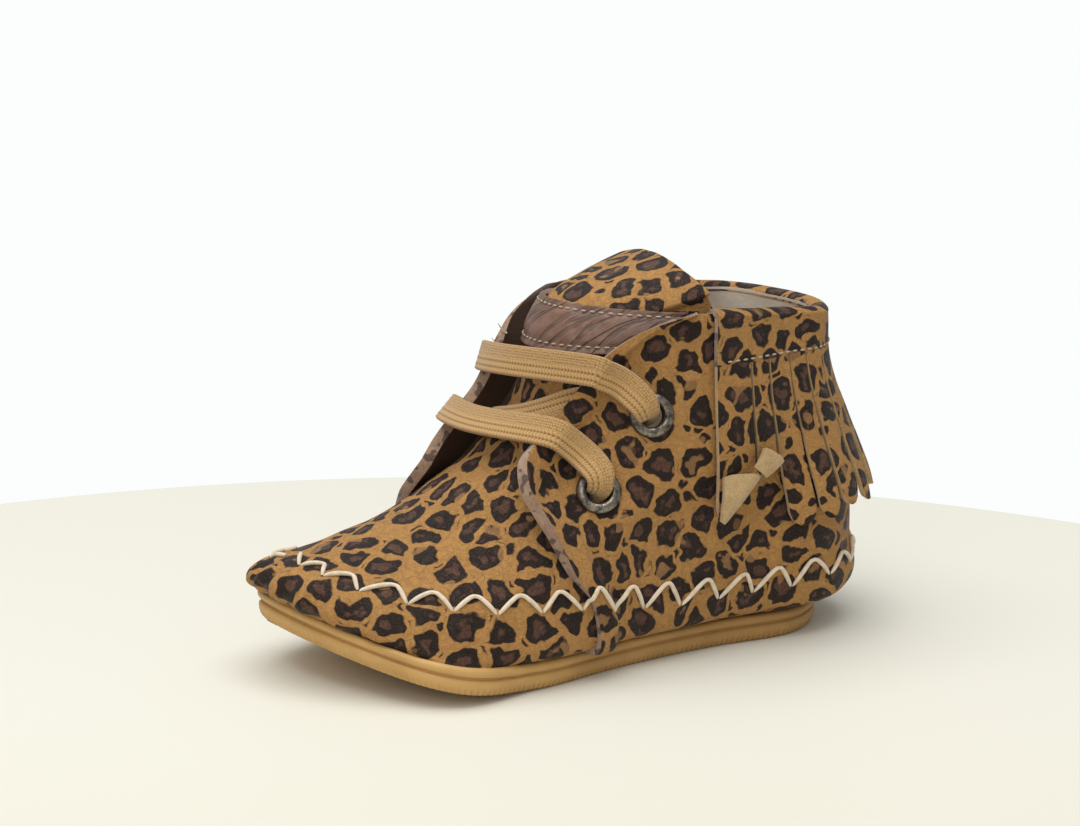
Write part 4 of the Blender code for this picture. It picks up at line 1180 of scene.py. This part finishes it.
class BOOT_OT_strap(bpy.types.Operator):
    """The wrinkled leather strap across the tongue"""

    bl_idname = "boot.strap"
    bl_label = "Tongue strap"

    rows = 28
    columns = 90

    def execute(self, context):
        level, across = np.meshgrid(np.linspace(STRAP_LOW, STRAP_HIGH, self.rows),
                                    np.linspace(0, 1, self.columns), indexing="ij")
        start = turn_of(STRAP_UNDER[1] * edge_share(level, 1))
        end = 2 * math.pi - turn_of(STRAP_UNDER[-1] * edge_share(level, -1))
        turn = start + (end - start) * across
        wrapped = np.where(turn > math.pi, turn - 2 * math.pi, turn)
        flat = lifted(level, turn, np.full(level.shape, STRAP_OUT))
        up = (level - STRAP_LOW) / (STRAP_HIGH - STRAP_LOW)
        hem = sum(np.exp(-((up - place) / STRAP_HEM_WIDTH) ** 2) for place in STRAP_HEMS)
        wrinkle = np.array([noise.noise(Vector((point.x * 1.0, point.y * 2.6, point.z * 0.8)) / (4.0 * MM))
                            for point in map(Vector, flat.reshape(-1, 3))]).reshape(level.shape)
        height = STRAP_OUT + softness(level, wrapped) + STRAP_RELIEF * wrinkle - STRAP_RELIEF * hem
        points = lifted(level, turn, height)
        sheet = sheet_of(points, skin_of(flat, 0))
        turn_outward(sheet, MIDDLE)
        piece = new_piece("leather_strap", sheet, [strap_leather()], ["tongue_strap"])
        give_wall(piece, STRAP_SHEET, 0, 0)
        round_edges(piece, STRAP_SOFT_EDGE, 3)
        return {"FINISHED"}


def fringe_ratio(level):
    """How much narrower in turn the fringe is at a level, so that its front edge hangs straight down."""
    row = read_table(RINGS[:, 0], RINGS[:, 1:], np.array([1.0, 1.0]) * np.asarray(level)[..., None])
    top = read_table(RINGS[:, 0], RINGS[:, 1:], BAND_BOTTOM)
    front = (FRINGE_FRONT - row[..., 0, 0]) / (row[..., 0, 2] - row[..., 0, 0])
    return turn_of(front) / float(turn_of((FRINGE_FRONT - top[0]) / (top[2] - top[0])))


def fringe_front():
    collar = read_table(RINGS[:, 0], RINGS[:, 1:], 1.0)
    front = float(turn_of((FRINGE_FRONT - collar[0]) / (collar[2] - collar[0])))
    return front / float(fringe_ratio(np.array(1.0)))


def roll_up(points, row, radius, tilt, heelward):
    """Rolls the part of a strip below a row outward round a slanted line."""
    middle = points.shape[1] // 2
    origin = points[row, middle]
    down = points[row, middle] - points[row - 1, middle]
    down /= np.linalg.norm(down)
    across = points[row, -1] - points[row, 0]
    across -= down * (across @ down)
    across /= np.linalg.norm(across)
    across *= np.sign(across @ heelward) or 1
    away = np.cross(down, across)
    away *= np.sign(away @ (origin - np.array(MIDDLE)))
    toward = down * math.cos(tilt) + across * math.sin(tilt)
    axis = across * math.cos(tilt) - down * math.sin(tilt)
    offset = points - origin
    distance = offset @ toward
    angle = np.clip(distance / radius, 0, ROLL_END)
    past = np.maximum(distance - ROLL_END * radius, 0)
    bent = radius * np.sin(angle) + past * math.cos(ROLL_END)
    rise = radius * (1 - np.cos(angle)) + past * math.sin(ROLL_END)
    rolled = (origin + (offset @ axis)[..., None] * axis + (offset @ away)[..., None] * away
              + bent[..., None] * toward + rise[..., None] * away)
    return np.where((distance > 0)[..., None], rolled, points)


class BOOT_OT_fringe(bpy.types.Operator):
    """The band folded over the collar, and the strips cut below its stitching"""

    bl_idname = "boot.fringe"
    bl_label = "Fringed collar"

    def execute(self, context):
        front = fringe_front()
        self.band(front)
        self.strips(front)
        return {"FINISHED"}

    def band(self, front):
        rows, columns = 40, 201
        way, across = grid(rows, columns)
        section = read_table(BAND_SECTION[:, 0], BAND_SECTION[:, 1:], way)
        level = section[..., 0]
        turn = across * front * fringe_ratio(level)
        height = section[..., 1] * MM + softness(np.minimum(level, 1.0), turn)
        points = lifted(level, turn, height)
        points[..., 2] += section[..., 2] * MM
        sheet = sheet_of(points, skin_of(points, columns // 2) + FRINGE_PRINT)
        turn_outward(sheet, COLLAR_MIDDLE)
        piece = new_piece("fringe_band", sheet, [leopard_suede(), flesh_side(), raw_edge()],
                          ["fringe_collar"])
        give_wall(piece, BAND_SHEET, 1, 2)
        round_edges(piece, BAND_SOFT_EDGE)

    def strips(self, front):
        joined = bmesh.new()
        total = sum(breadth for breadth, _ in STRIPS)
        slit = SLIT / (0.5 * BALL_WIDTH) / front
        start = 0.0
        for number, (breadth, end) in enumerate(STRIPS):
            shares = (start / total + (slit / 2 if number else 0.0), (start + breadth) / total - slit / 2)
            start += breadth
            for side in (1, -1):
                self.strip(joined, number, side, [front * (1 - share) for share in shares], end)
        mesh = bpy.data.meshes.new("strips")
        joined.to_mesh(mesh)
        joined.free()
        sheet = bmesh.new()
        sheet.from_mesh(mesh)
        bpy.data.meshes.remove(mesh)
        piece = new_piece("fringe_strips", sheet, [leopard_suede(), flesh_side(), flesh_side()])
        give_wall(piece, STRIP_SHEET, 1, 2)
        round_edges(piece, STRIP_SOFT_EDGE)

    def strip(self, joined, number, side, turns, end):
        rows, columns = 46, 11
        centre = columns // 2
        roll = STRIP_ROLLS.get(number)
        way, across = grid(rows, columns)
        level = BAND_BOTTOM + (end - BAND_BOTTOM) * way
        middle, half = sum(turns) / 2, (turns[0] - turns[1]) / 2
        tip = np.clip((way - 0.90) / 0.10, 0, 1) * (0.5 if roll else 1.0)
        narrow = np.sqrt(np.clip(1 - 0.92 * tip**2, 0, 1)) * (1 - 0.05 * way)
        sway = 0.10 * half * math.sin(2.3 * number + side) * way**2
        turn = side * (middle + half * across * narrow + sway) * fringe_ratio(level)
        stand = STRIP_STAND_OFF * way**STRIP_BEND_POWER * max(math.cos(middle), 0) ** 2
        lively = (0.35 + 0.35 * math.sin(4.1 * number + 1.3 * side)) * MM * way**2
        cup = (0.25 + 0.2 * math.sin(2.9 * number)) * MM * way * (1 - across**2)
        height = FRINGE_OUT + stand + lively + cup + 0.6 * softness(level, turn)
        flat = lifted(level, turn, height)
        points = flat
        if roll:
            fold, radius, tilt = roll
            row = int(np.argmin(np.abs(level[:, 0] - fold)))
            points = roll_up(flat, row, radius * MM, math.radians(tilt), HEELWARD)
        ahead = side * middle * 0.45 * BALL_WIDTH / MM
        skin = skin_of(flat, centre) * np.array([1.0, -1.0]) + FRINGE_PRINT + np.array([ahead, 0.0])
        sheet = sheet_of(points, skin)
        root = (1, centre)
        normal = Vector(outward(float(level[root]), np.array(float(turn[root]))))
        sheet.normal_update()
        near = min(sheet.faces, key=lambda face: (face.calc_center_median() - Vector(flat[root])).length)
        if near.normal.dot(normal) < 0:
            bmesh.ops.reverse_faces(sheet, faces=sheet.faces)
        mesh = bpy.data.meshes.new("strip")
        sheet.to_mesh(mesh)
        sheet.free()
        joined.from_mesh(mesh)
        bpy.data.meshes.remove(mesh)


def sole_ring(turns):
    """Outline of the sole seen from above: points, and unit directions that point away from the foot."""
    points = form(0.0, turns)[:, :2]
    ahead = form(0.0, turns + 0.01)[:, :2] - form(0.0, turns - 0.01)[:, :2]
    normal = np.stack([-ahead[:, 1], ahead[:, 0]], axis=-1)
    return points, normal / np.linalg.norm(normal, axis=-1, keepdims=True)


def sole_middle(turns):
    """The middle line of the sole at the stations of these turns."""
    points = form(0.0, turns)[:, :2]
    other = form(0.0, -turns)[:, :2]
    return (points + other) / 2


class BOOT_OT_sole(bpy.types.Operator):
    """The moulded sole: lip, groove, lower band with fine ribs, and slots across the underside"""

    bl_idname = "boot.sole"
    bl_label = "Rubber sole"

    per_rib = 6

    def execute(self, context):
        turns = np.linspace(0, 2 * math.pi, 2001)
        ring, normal = sole_ring(turns)
        length = np.concatenate([[0], np.linalg.norm(np.diff(ring, axis=0), axis=1).cumsum()])
        ribs = round(length[-1] / SOLE_RIB_PITCH)
        even = np.linspace(0, length[-1], ribs * self.per_rib + 1)
        turns = np.interp(even, length, turns)
        ring, normal = sole_ring(turns)
        middle = sole_middle(turns)
        seam = sole_middle((turns + 2 * math.pi - turns[::-1]) / 2)
        length = even
        wave = 0.5 - 0.5 * np.cos(2 * math.pi * ribs * length / length[-1])
        rows = []
        for share, reach, height, rib in SOLE_SECTION:
            edge = ring + normal * (reach * SOLE_LIP - rib * SOLE_RIB_DEPTH * wave)[:, None]
            flat = middle + (edge - middle) * share
            flat[:, 1] = edge[:, 1]
            if share == 0:
                flat = seam
            z = curl(-flat[:, 1]) + height * SOLE_THICKNESS
            rows.append(np.concatenate([flat, z[:, None]], axis=1))
        points = np.array(rows)
        sheet = sheet_of(points, np.zeros((*points.shape[:2], 2)))
        bmesh.ops.remove_doubles(sheet, verts=sheet.verts, dist=0.002 * MM)
        bmesh.ops.dissolve_degenerate(sheet, dist=0.001 * MM, edges=sheet.edges)
        bmesh.ops.recalc_face_normals(sheet, faces=sheet.faces)
        piece = new_piece("rubber_sole", sheet, [gum_rubber()], ["outsole"])
        cutter = self.slots()
        cut = piece.modifiers.new("slots", "BOOLEAN")
        cut.object = cutter
        cut.operation = "DIFFERENCE"
        cut.solver = "EXACT"
        evaluated = piece.evaluated_get(context.evaluated_depsgraph_get())
        mesh = bpy.data.meshes.new_from_object(evaluated)
        piece.modifiers.clear()
        piece.data = mesh
        mesh.set_sharp_from_angle(angle=math.radians(48))
        bpy.data.objects.remove(cutter, do_unlink=True)
        return {"FINISHED"}

    def slots(self):
        """Bars as long as the slots across the underside."""
        bars = bmesh.new()
        turns = np.linspace(0, math.pi, 400)
        ring = form(0.0, turns)
        other = form(0.0, -turns)
        place = LUG_FIRST
        while place <= LUG_LAST * LENGTH:
            outer = np.interp(place, -ring[:, 1], ring[:, 0])
            inner = np.interp(place, -other[:, 1], other[:, 0])
            bar = bmesh.ops.create_cube(bars, size=1.0)["verts"]
            bmesh.ops.scale(bars, vec=((outer - inner) * LUG_BREADTH, LUG_GAP, 2 * LUG_DEPTH), verts=bar)
            slope = math.atan2(float(curl(place + LUG_GAP) - curl(place - LUG_GAP)), 2 * LUG_GAP)
            seat = Matrix.Translation(((outer + inner) / 2, -place, float(curl(place))))
            bmesh.ops.transform(bars, matrix=seat @ Matrix.Rotation(-slope, 4, "X"), verts=bar)
            place += LUG_PITCH
        mesh = bpy.data.meshes.new("slot_bars")
        bars.to_mesh(mesh)
        bars.free()
        cutter = bpy.data.objects.new("slot_bars", mesh)
        bpy.context.scene.collection.objects.link(cutter)
        return cutter


class BOOT_OT_insole(bpy.types.Operator):
    """The leather footbed inside the boot"""

    bl_idname = "boot.insole"
    bl_label = "Insole"

    def execute(self, context):
        turns = np.linspace(0, 2 * math.pi, 241)
        ring, normal = sole_ring(turns)
        middle = sole_middle(turns)
        edge = ring - normal * INSOLE_SHY
        rows = []
        for share, height in INSOLE_SECTION:
            flat = middle + (edge - middle) * share
            flat[:, 1] = edge[:, 1]
            z = SOLE_TOP + curl(-edge[:, 1]) + height * INSOLE_THICKNESS
            rows.append(np.concatenate([flat, z[:, None]], axis=1))
        points = np.array(rows)
        sheet = sheet_of(points, np.zeros((*points.shape[:2], 2)))
        bmesh.ops.remove_doubles(sheet, verts=sheet.verts, dist=0.002 * MM)
        bmesh.ops.recalc_face_normals(sheet, faces=sheet.faces)
        new_piece("leather_footbed", sheet, [lining_leather()], ["insole"])
        return {"FINISHED"}


class BOOT_OT_eyelets(bpy.types.Operator):
    """Four turned metal eyelets"""

    bl_idname = "boot.eyelets"
    bl_label = "Eyelets"

    def execute(self, context):
        for place, facing, node in eyelet_places():
            ring = bmesh.new()
            profile = [ring.verts.new((radius * MM, 0.0, height * MM)) for radius, height in EYELET_SECTION]
            edges = [ring.edges.new(pair) for pair in zip(profile, profile[1:])]
            bmesh.ops.spin(ring, geom=profile + edges, cent=(0, 0, 0), axis=(0, 0, 1), dvec=(0, 0, 0),
                           angle=2 * math.pi, steps=56, use_merge=True, use_duplicate=False)
            bmesh.ops.remove_doubles(ring, verts=ring.verts, dist=0.001 * MM)
            bmesh.ops.recalc_face_normals(ring, faces=ring.faces)
            for face in ring.faces:
                # Faces low in the bore take the near-black painted bore shade
                face.material_index = int(face.calc_center_median().z < EYELET_BORE_BELOW)
            seat = Matrix.Translation(place) @ facing.to_track_quat("Z", "Y").to_matrix().to_4x4()
            bmesh.ops.transform(ring, matrix=seat, verts=ring.verts)
            piece = new_piece(node.replace("eyelet", "metal_eyelet"), ring, [antique_metal(), painted_bore_shade()],
                              [node])
            give_wall(piece, EYELET_SHEET, 0, 0)
        return {"FINISHED"}


def lace_section():
    """Closed outline of the flat lace: round sides and shallow ribs along its faces."""
    count = 15
    faces = []
    for number in range(count):
        across = -0.9 + 1.8 * number / (count - 1)
        rib = 0.10 * abs(math.cos(math.pi * (across + 1) / 2 * LACE_RIBS))
        faces.append((across, 0.78 + rib))
    side = [(0.97, 0.45), (1.0, 0.0), (0.97, -0.45)]
    upper = faces + side
    lower = [(-across, -height) for across, height in upper]
    return upper + lower + upper[:1]


class BOOT_OT_laces(bpy.types.Operator):
    """Two bars and the crossing under them, run through the eyelets"""

    bl_idname = "boot.laces"
    bl_label = "Laces"

    def execute(self, context):
        for name, stops in LACE_BARS.items():
            places, normals = [], []
            for side, level, share, height, _ in stops:
                turn = np.array((side or 1) * float(turn_of(share)))
                lift = height * MM
                if side:
                    along = min(share / float(edge_share(level, side)), 1.0)
                    lift += float(quarter_height(level, np.array(along), side))
                places.append(lifted(level, turn, np.array(lift)))
                normals.append(outward(level, turn))
            self.lace(f"lace_{name}", places, normals, [stop[4] for stop in stops], [f"lace_bar_{name}"])
        places = [lifted(level, np.array(side * float(turn_of(share))), np.array(height * MM))
                  for side, level, share, height, _ in CROSSING]
        normals = [outward(level, np.array(side * float(turn_of(share))))
                   for side, level, share, _, _ in CROSSING]
        self.lace("lace_under", places, normals, [stop[4] for stop in CROSSING], ["lace_crossing"])
        return {"FINISHED"}

    def lace(self, name, places, normals, widths, nodes):
        samples = 150
        route, across, facing, at = frames_along(np.array(places), np.array(normals), samples)
        share = read_table(np.arange(len(widths)), widths, at)
        section = lace_section()
        thick = LACE_THICKNESS * (1 + 0.55 * (1 - share))
        raised = route + facing * LACE_THICKNESS / 2
        points = sweep(raised, across, facing, LACE_WIDTH * share, thick, section)
        along = np.concatenate([[0], np.linalg.norm(np.diff(route, axis=0), axis=1).cumsum()])
        wide = np.array([place[0] for place in section]) * LACE_WIDTH / 2 + LACE_WIDTH / 2
        skin = np.stack(np.meshgrid(wide, along, indexing="xy"), axis=-1) / MM
        sheet = sheet_of(points, skin)
        bmesh.ops.remove_doubles(sheet, verts=sheet.verts, dist=0.002 * MM)
        close_ends(sheet)
        bmesh.ops.recalc_face_normals(sheet, faces=sheet.faces)
        new_piece(name, sheet, [woven_lace()], nodes)


def thread_curve(name, runs, thickness, material):
    """Round threads through runs of points and thicknesses, made a mesh."""
    curve = bpy.data.curves.new(name, "CURVE")
    curve.dimensions = "3D"
    curve.bevel_depth = thickness / 2
    curve.bevel_resolution = 2
    curve.use_fill_caps = True
    for points, radii in runs:
        spline = curve.splines.new("POLY")
        spline.points.add(len(points) - 1)
        for place, point, radius in zip(spline.points, points, radii):
            place.co = (*point, 1.0)
            place.radius = radius
    made = bpy.data.objects.new(name, curve)
    bpy.context.scene.collection.objects.link(made)
    mesh = bpy.data.meshes.new_from_object(made.evaluated_get(bpy.context.evaluated_depsgraph_get()))
    bpy.data.objects.remove(made, do_unlink=True)
    sheet = bmesh.new()
    sheet.from_mesh(mesh)
    bpy.data.meshes.remove(mesh)
    bmesh.ops.remove_doubles(sheet, verts=sheet.verts, dist=0.002 * MM)
    return new_piece(name, sheet, [material])


class BOOT_OT_zigzag(bpy.types.Operator):
    """The thick zigzag thread round the boot"""

    bl_idname = "boot.zigzag"
    bl_label = "Zigzag thread"

    def execute(self, context):
        outer = []
        for upper, lower in zip(ZIGZAG_UPPER, ZIGZAG_LOWER):
            outer += [(*upper, 1, True), (*lower, 1, False)]
        inner = [(level - ZIGZAG_DIP * (share > ZIGZAG_TOE), share, -1, upper)
                 for level, share, _, upper in outer]
        stops = outer + inner[-2::-1]
        level = np.array([stop[0] for stop in stops])
        turn = np.array([stop[2] * float(turn_of(stop[1])) for stop in stops])
        runs = [self.run(level, turn, [stop[3] for stop in stops])]
        thread_curve("zigzag_thread", runs, sizes().thread, thread_cotton())
        return {"FINISHED"}

    def run(self, level, turn, upper):
        """The thread's legs: straight, rounded over the upper apexes and drawn in at the lower ones."""
        points, radii, lows = [], [], []
        steps = 9
        for index in range(len(level) - 1):
            for step in range(steps):
                way = step / steps
                here_level = level[index] + (level[index + 1] - level[index]) * way
                here_turn = turn[index] + (turn[index + 1] - turn[index]) * way
                drawn = (1 - way if not upper[index] else way) ** 6
                bow = math.sin(math.pi * way)
                here_level += 0.004 * bow
                place_turn = np.array(here_turn)
                off = (ZIGZAG_HEIGHT + ZIGZAG_BOW * bow - ZIGZAG_SINK * drawn) * MM
                height = float(wall_height(here_level, place_turn)) + off
                points.append(lifted(here_level, place_turn, np.array(height)))
                radii.append(ZIGZAG_FULL + ZIGZAG_SWELL * bow - ZIGZAG_PINCH * drawn)
                lows.append(way if upper[index] else 1 - way)
        points, lows = np.array(points), np.array(lows)[:, None]
        spread = np.pad(points, ((2, 2), (0, 0)), mode="edge")
        even = sum(spread[step:step + len(points)] for step in range(5)) / 5
        return points * lows + even * (1 - lows), radii


class BOOT_OT_stitches(bpy.types.Operator):
    """The topstitching on the collar's band and along the strap"""

    bl_idname = "boot.stitches"
    bl_label = "Stitches"

    def execute(self, context):
        stitches = bmesh.new()
        front = fringe_front()
        samples = 900
        turns = np.linspace(-front, front, samples) * 0.985
        level = np.full(samples, BAND_BOTTOM + 0.004)
        self.row(stitches, lifted(level, turns, FRINGE_OUT + softness(level, turns) + 0.05 * MM),
                 outward(level, turns))
        samples = 600
        for up in STRAP_HEMS:
            level = np.full(samples, STRAP_LOW + (STRAP_HIGH - STRAP_LOW) * up)
            start = turn_of(STRAP_UNDER[1] * edge_share(level, 1))
            end = 2 * math.pi - turn_of(STRAP_UNDER[-1] * edge_share(level, -1))
            turns = start + (end - start) * np.linspace(0.02, 0.98, samples)
            wrapped = np.where(turns > math.pi, turns - 2 * math.pi, turns)
            height = STRAP_OUT + softness(level, wrapped) - 0.16 * MM
            self.row(stitches, lifted(level, turns, height), outward(level, turns))
        new_piece("topstitching", stitches, [stitch_cotton()])
        self.loose_ends()
        return {"FINISHED"}

    def loose_ends(self):
        """Thread ends left hanging at the top of the inner facing."""
        runs = []
        for level, reach in ((0.868, (1.2, 2.4, 0.6)), (0.884, (-0.4, 2.2, 2.2))):
            start = lifted(level, np.array(-float(turn_of(0.945))), np.array(3.2 * MM))
            way = np.linspace(0, 1, 8)[:, None]
            line = np.array(reach) * np.array((-1.0, -1.0, 1.0)) * MM
            sag = np.array((0.0, 0.4, -0.9)) * MM * np.sin(math.pi * way)
            runs.append((start + line * way + sag, np.linspace(1.0, 0.5, 8)))
        thread_curve("loose_ends", runs, 0.5 * MM, thread_cotton())

    def row(self, stitches, route, normals):
        """Short stitches laid end to end along a route, with a gap at each hole."""
        length = np.concatenate([[0], np.linalg.norm(np.diff(route, axis=0), axis=1).cumsum()])
        for start in np.arange(0, length[-1] - sizes().stitch, sizes().stitch_pitch):
            spots = [np.array([np.interp(at, length, route[:, axis]) for axis in range(3)])
                     for at in (start, start + sizes().stitch)]
            normal = Vector([np.interp(start, length, normals[:, axis]) for axis in range(3)]).normalized()
            ahead = Vector(spots[1] - spots[0])
            side = normal.cross(ahead).normalized()
            turned = Matrix((ahead.normalized(), side, normal)).transposed().to_4x4()
            ball = bmesh.ops.create_icosphere(stitches, subdivisions=2, radius=0.5)["verts"]
            size = Matrix.Diagonal((ahead.length, STITCH_BREADTH, STITCH_HEIGHT, 1.0))
            place = Matrix.Translation(Vector((spots[0] + spots[1]) / 2) + normal * STITCH_LIFT)
            bmesh.ops.transform(stitches, matrix=place @ turned @ size, verts=ball)


class BOOT_OT_stage(bpy.types.Operator):
    """The round table, the white surround, the soft lights and the camera"""

    bl_idname = "boot.stage"
    bl_label = "Stage"

    def execute(self, context):
        disc = bmesh.new()
        bmesh.ops.create_circle(disc, cap_ends=True, segments=192, radius=TABLE_RADIUS)
        made = bmesh.ops.extrude_face_region(disc, geom=disc.faces[:])
        moved = [item for item in made["geom"] if isinstance(item, bmesh.types.BMVert)]
        bmesh.ops.translate(disc, vec=(0, 0, -TABLE_THICKNESS), verts=moved)
        bmesh.ops.recalc_face_normals(disc, faces=disc.faces)
        bmesh.ops.translate(disc, vec=TABLE_MIDDLE, verts=disc.verts)
        rims = [edge for edge in disc.edges if abs(edge.verts[0].co.z - edge.verts[1].co.z) < 1e-6]
        bmesh.ops.bevel(disc, geom=rims, offset=TABLE_SOFT_EDGE, segments=4, profile=0.5, affect="EDGES",
                        material=-1)
        mesh = bpy.data.meshes.new("table_top")
        disc.to_mesh(mesh)
        disc.free()
        mesh.materials.append(table_paint())
        table = bpy.data.objects.new("table_top", mesh)
        context.scene.collection.objects.link(table)
        self.surround(context)
        self.lights(context)
        self.camera(context)
        context.scene.view_settings.view_transform = "Standard"
        return {"FINISHED"}

    def surround(self, context):
        """A white surround that is brighter to look at than it is as a light."""
        world = bpy.data.worlds.new("white_surround")
        context.scene.world = world
        world.use_nodes = True
        tree = world.node_tree
        lit = tree.nodes["Background"]
        lit.inputs["Color"].default_value = SURROUND_LIGHT
        lit.inputs["Strength"].default_value = SURROUND_STRENGTH
        seen = add_node(tree, "ShaderNodeBackground", {"Color": SURROUND_LOOK, "Strength": 1.0})
        rays = add_node(tree, "ShaderNodeLightPath")
        mixed = tree.nodes.new("ShaderNodeMixShader")
        tree.links.new(rays.outputs["Is Camera Ray"], mixed.inputs["Fac"])
        tree.links.new(lit.outputs[0], mixed.inputs[1])
        tree.links.new(seen.outputs[0], mixed.inputs[2])
        tree.links.new(mixed.outputs[0], tree.nodes["World Output"].inputs["Surface"])

    def lights(self, context):
        for name, place, size, power in LIGHTS:
            light = bpy.data.lights.new(name, "AREA")
            light.energy = power
            light.size = size
            made = bpy.data.objects.new(name, light)
            context.scene.collection.objects.link(made)
            made.location = place
            made.rotation_euler = (Vector(place) - VIEW_POINT).to_track_quat("Z", "Y").to_euler()

    def camera(self, context):
        camera = bpy.data.cameras.new("photo_view")
        camera.lens = VIEW_LENS
        camera.sensor_width = VIEW_SENSOR
        camera.clip_start = 0.01
        made = bpy.data.objects.new("photo_view", camera)
        context.scene.collection.objects.link(made)
        sight = Vector((math.cos(VIEW_TURN) * math.cos(VIEW_RISE),
                        -math.sin(VIEW_TURN) * math.cos(VIEW_RISE), math.sin(VIEW_RISE)))
        made.location = VIEW_POINT + sight * VIEW_DISTANCE
        made.rotation_euler = sight.to_track_quat("Z", "Y").to_euler()
        context.scene.camera = made


OPERATORS = (BOOT_OT_stage, BOOT_OT_quarters, BOOT_OT_vamp, BOOT_OT_strap, BOOT_OT_fringe, BOOT_OT_sole,
             BOOT_OT_insole, BOOT_OT_eyelets, BOOT_OT_laces, BOOT_OT_zigzag, BOOT_OT_stitches)


class BOOT_PT_panel(bpy.types.Panel):
    """Lists the boot's sizes, colours and pieces"""

    bl_label = "Toddler Boot"
    bl_idname = "BOOT_PT_panel"
    bl_space_type = "VIEW_3D"
    bl_region_type = "UI"
    bl_category = "Boot"

    def draw(self, context):
        for settings in (context.scene.boot_sizes, context.scene.boot_colours):
            for name in settings.__annotations__:
                self.layout.prop(settings, name)
        for operator in OPERATORS:
            self.layout.operator(operator.bl_idname)


CLASSES = (BootSizes, BootColours, *OPERATORS, BOOT_PT_panel)


def register():
    for each in CLASSES:
        bpy.utils.register_class(each)
    bpy.types.Scene.boot_sizes = bpy.props.PointerProperty(type=BootSizes)
    bpy.types.Scene.boot_colours = bpy.props.PointerProperty(type=BootColours)


def unregister():
    del bpy.types.Scene.boot_colours
    del bpy.types.Scene.boot_sizes
    for each in reversed(CLASSES):
        bpy.utils.unregister_class(each)


def main():
    register()
    for operator in OPERATORS:
        name = operator.bl_idname.split(".")[1]
        if getattr(bpy.ops.boot, name)() != {"FINISHED"}:
            raise RuntimeError(f"{operator.bl_label} wasn't finished")


if __name__ == "__main__":
    main()
